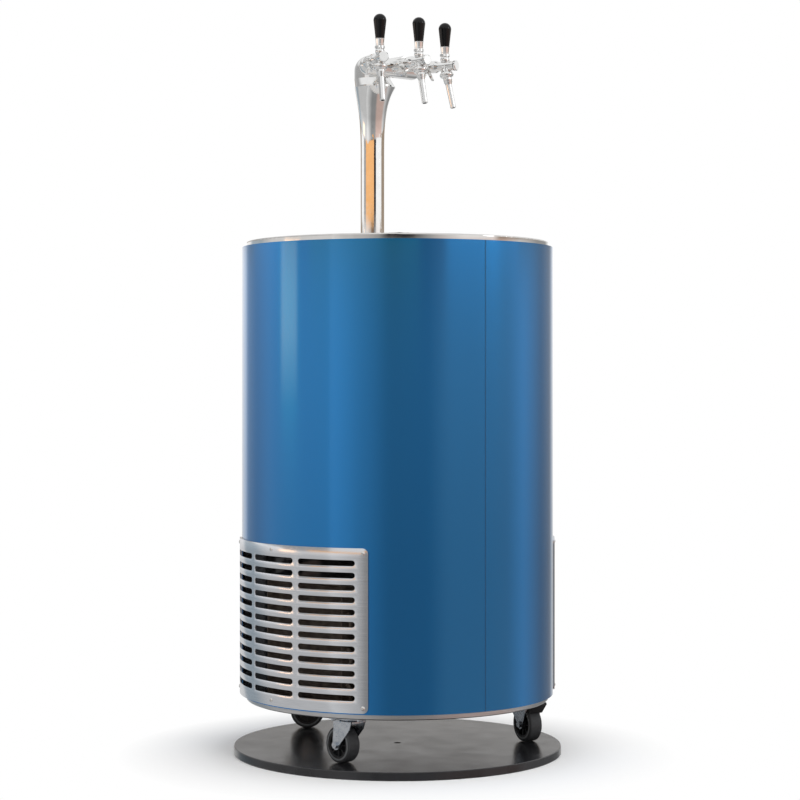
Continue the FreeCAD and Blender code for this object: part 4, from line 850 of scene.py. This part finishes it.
# Which panel stands where, by the share of a full turn from -X through -Y: round the cabinet, in the strip that
# its rim mirrors, level with the tower's column, and above
WALLS = [(0.0, "white"), (0.12, "grey"), (0.20, "grey"), (0.24, "rose"), (0.38, "rose"), (0.43, "pale"),
         (0.50, "grey"), (0.56, "grey"), (0.60, "white"), (0.72, "white"), (0.74, "cool"), (0.79, "cool"),
         (0.84, "pale")]
RIM_WALLS = [(0.0, "pale"), (0.10, "grey"), (0.12, "black"), (0.17, "black"), (0.20, "grey"), (0.28, "white"),
             (0.35, "white"), (0.37, "taupe"), (0.79, "taupe"), (0.85, "pale")]
TOWER_WALLS = [(0.0, "amber"), (0.18, "amber"), (0.185, "black"), (0.235, "black"), (0.24, "white"),
               (0.41, "white"), (0.42, "taupe"), (0.77, "taupe"), (0.78, "white"), (0.885, "white"),
               (0.89, "grey"), (0.95, "grey"), (0.955, "amber")]
HIGH_WALLS = [(0.0, "pale"), (0.11, "pale"), (0.12, "black"), (0.14, "black"), (0.15, "pale"), (0.40, "white"),
              (0.41, "black"), (0.44, "black"), (0.45, "white"), (0.80, "grey")]
FEET_SHADE = 0.68
# The window that the cabinet's left side mirrors: a band of the turn, and the heights between which it fades in
WINDOW = [(0.0, "none"), (0.874, "none"), (0.882, "amber"), (0.918, "amber"), (0.926, "none")]
WINDOW_GLOW = 1.6
WINDOW_RISE = (-0.012, 0.022)
# The tall soft box at the right, which the knobs and the chrome mirror
SOFT_BOX = [(0.0, "none"), (0.332, "none"), (0.336, "white"), (0.358, "white"), (0.362, "none")]
SOFT_BOX_GLOW = 4.0
SOFT_BOX_HEIGHTS = (0.130, 0.45)
# Sines of the height angles between which one kind of wall passes into the next
FEET_RISE = (-0.085, 0.058)
RIM_RISE = (0.0650, 0.0662)
TOWER_RISE = (0.0715, 0.0745)
HIGH_RISE = (0.126, 0.130)
CEILING = "EFEFEF"
CEILING_RISE = (0.35, 0.55)
ROOM_LIGHT = 0.55


def light_room():
    """White room: plain light on the object, and walls with light and dark stretches for it to mirror."""
    world = bpy.data.worlds.new("room")
    scene.world = world
    world.use_nodes = True
    tree = world.node_tree
    path = add(tree, "LightPath").outputs
    way = add(tree, "TexCoord").outputs["Generated"]
    split = add(tree, "SeparateXYZ", {0: way}).outputs
    turn = add(tree, "Math", {0: split["Y"], 1: split["X"]}, operation="ARCTAN2").outputs[0]
    share = add(tree, "MapRange", {"Value": turn, "From Min": -math.pi, "From Max": math.pi}).outputs["Result"]
    bands = []
    for band in (WALLS, RIM_WALLS, TOWER_WALLS, HIGH_WALLS, WINDOW, SOFT_BOX):
        stops = [(place, PANELS[name]) for place, name in band]
        bands.append(add(tree, "ValToRGB", {"Fac": share}, stops=stops).outputs["Color"])
    colour, rim, tower, high, window, box = bands
    levels = ((RIM_RISE, rim), (TOWER_RISE, tower), (HIGH_RISE, high), (CEILING_RISE, linear(CEILING)))
    for rise, above in levels:
        reach = add(tree, "MapRange", {"Value": split["Z"], "From Min": rise[0], "From Max": rise[1]})
        mix = add(tree, "Mix", {"Factor": reach.outputs["Result"], "A": colour, "B": above}, data_type="RGBA")
        colour = mix.outputs["Result"]
    shade = add(tree, "MapRange", {"Value": split["Z"], "From Min": FEET_RISE[0], "From Max": FEET_RISE[1],
                                   "To Min": FEET_SHADE}).outputs["Result"]
    mirrored = add(tree, "Background", {"Color": colour, "Strength": shade}).outputs[0]
    rise = add(tree, "MapRange", {"Value": split["Z"], "From Min": WINDOW_RISE[0], "From Max": WINDOW_RISE[1],
                                  "To Max": WINDOW_GLOW}).outputs["Result"]
    below = add(tree, "Math", {0: split["Z"], 1: RIM_RISE[0]}, operation="LESS_THAN").outputs[0]
    glow = add(tree, "Math", {0: rise, 1: below}, operation="MULTIPLY").outputs[0]
    window = add(tree, "Background", {"Color": window, "Strength": glow}).outputs[0]
    mirrored = add(tree, "AddShader", {0: mirrored, 1: window}).outputs[0]
    foot = add(tree, "Math", {0: split["Z"], 1: SOFT_BOX_HEIGHTS[0]}, operation="GREATER_THAN").outputs[0]
    head = add(tree, "Math", {0: split["Z"], 1: SOFT_BOX_HEIGHTS[1]}, operation="LESS_THAN").outputs[0]
    lit = add(tree, "Math", {0: foot, 1: head}, operation="MULTIPLY").outputs[0]
    lit = add(tree, "Math", {0: lit, 1: SOFT_BOX_GLOW}, operation="MULTIPLY").outputs[0]
    box = add(tree, "Background", {"Color": box, "Strength": lit}).outputs[0]
    mirrored = add(tree, "AddShader", {0: mirrored, 1: box}).outputs[0]
    plain = add(tree, "Background", {"Color": linear("FFFFFF"), "Strength": ROOM_LIGHT}).outputs[0]
    seen = add(tree, "Background", {"Color": linear("FFFFFF"), "Strength": 1.0}).outputs[0]
    bounced = add(tree, "Math", {0: path["Is Glossy Ray"], 1: path["Is Transmission Ray"]}, operation="MAXIMUM")
    lit = add(tree, "MixShader", {0: bounced.outputs[0], 1: plain, 2: mirrored}).outputs[0]
    whole = add(tree, "MixShader", {0: path["Is Camera Ray"], 1: lit, 2: seen}).outputs[0]
    tree.links.new(whole, tree.nodes["World Output"].inputs["Surface"])


# Lamps: place, what they aim at, size in metres and power in watts
LAMPS = {
    "top_lamp": ((-0.6, -0.8, 3.4), (0, 0, 0.6), (2.4, 2.4), 55),
    "front_lamp": ((-0.9, -3.6, 1.6), (0, 0, 0.9), (1.2, 2.4), 38),
    "side_lamp": ((3.2, -1.2, 1.8), (0, 0, 0.9), (1.0, 2.2), 22),
}


def hang_lamp(name, place, aim, size, power):
    data = bpy.data.lights.new(name, "AREA")
    data.shape = "RECTANGLE"
    data.size, data.size_y = size
    data.energy = power
    lamp = bpy.data.objects.new(name, data)
    scene.collection.objects.link(lamp)
    lamp.location = place
    lamp.rotation_euler = (Vector(aim) - Vector(place)).to_track_quat("-Z", "Y").to_euler()
    lamp.visible_glossy = False


def light_studio():
    light_room()
    for name, (place, aim, size, power) in LAMPS.items():
        hang_lamp(name, place, aim, size, power)


place_camera()
dress_nodes()
add_pieces()
lay_floor()
light_studio()
scene.view_settings.view_transform = "Standard"
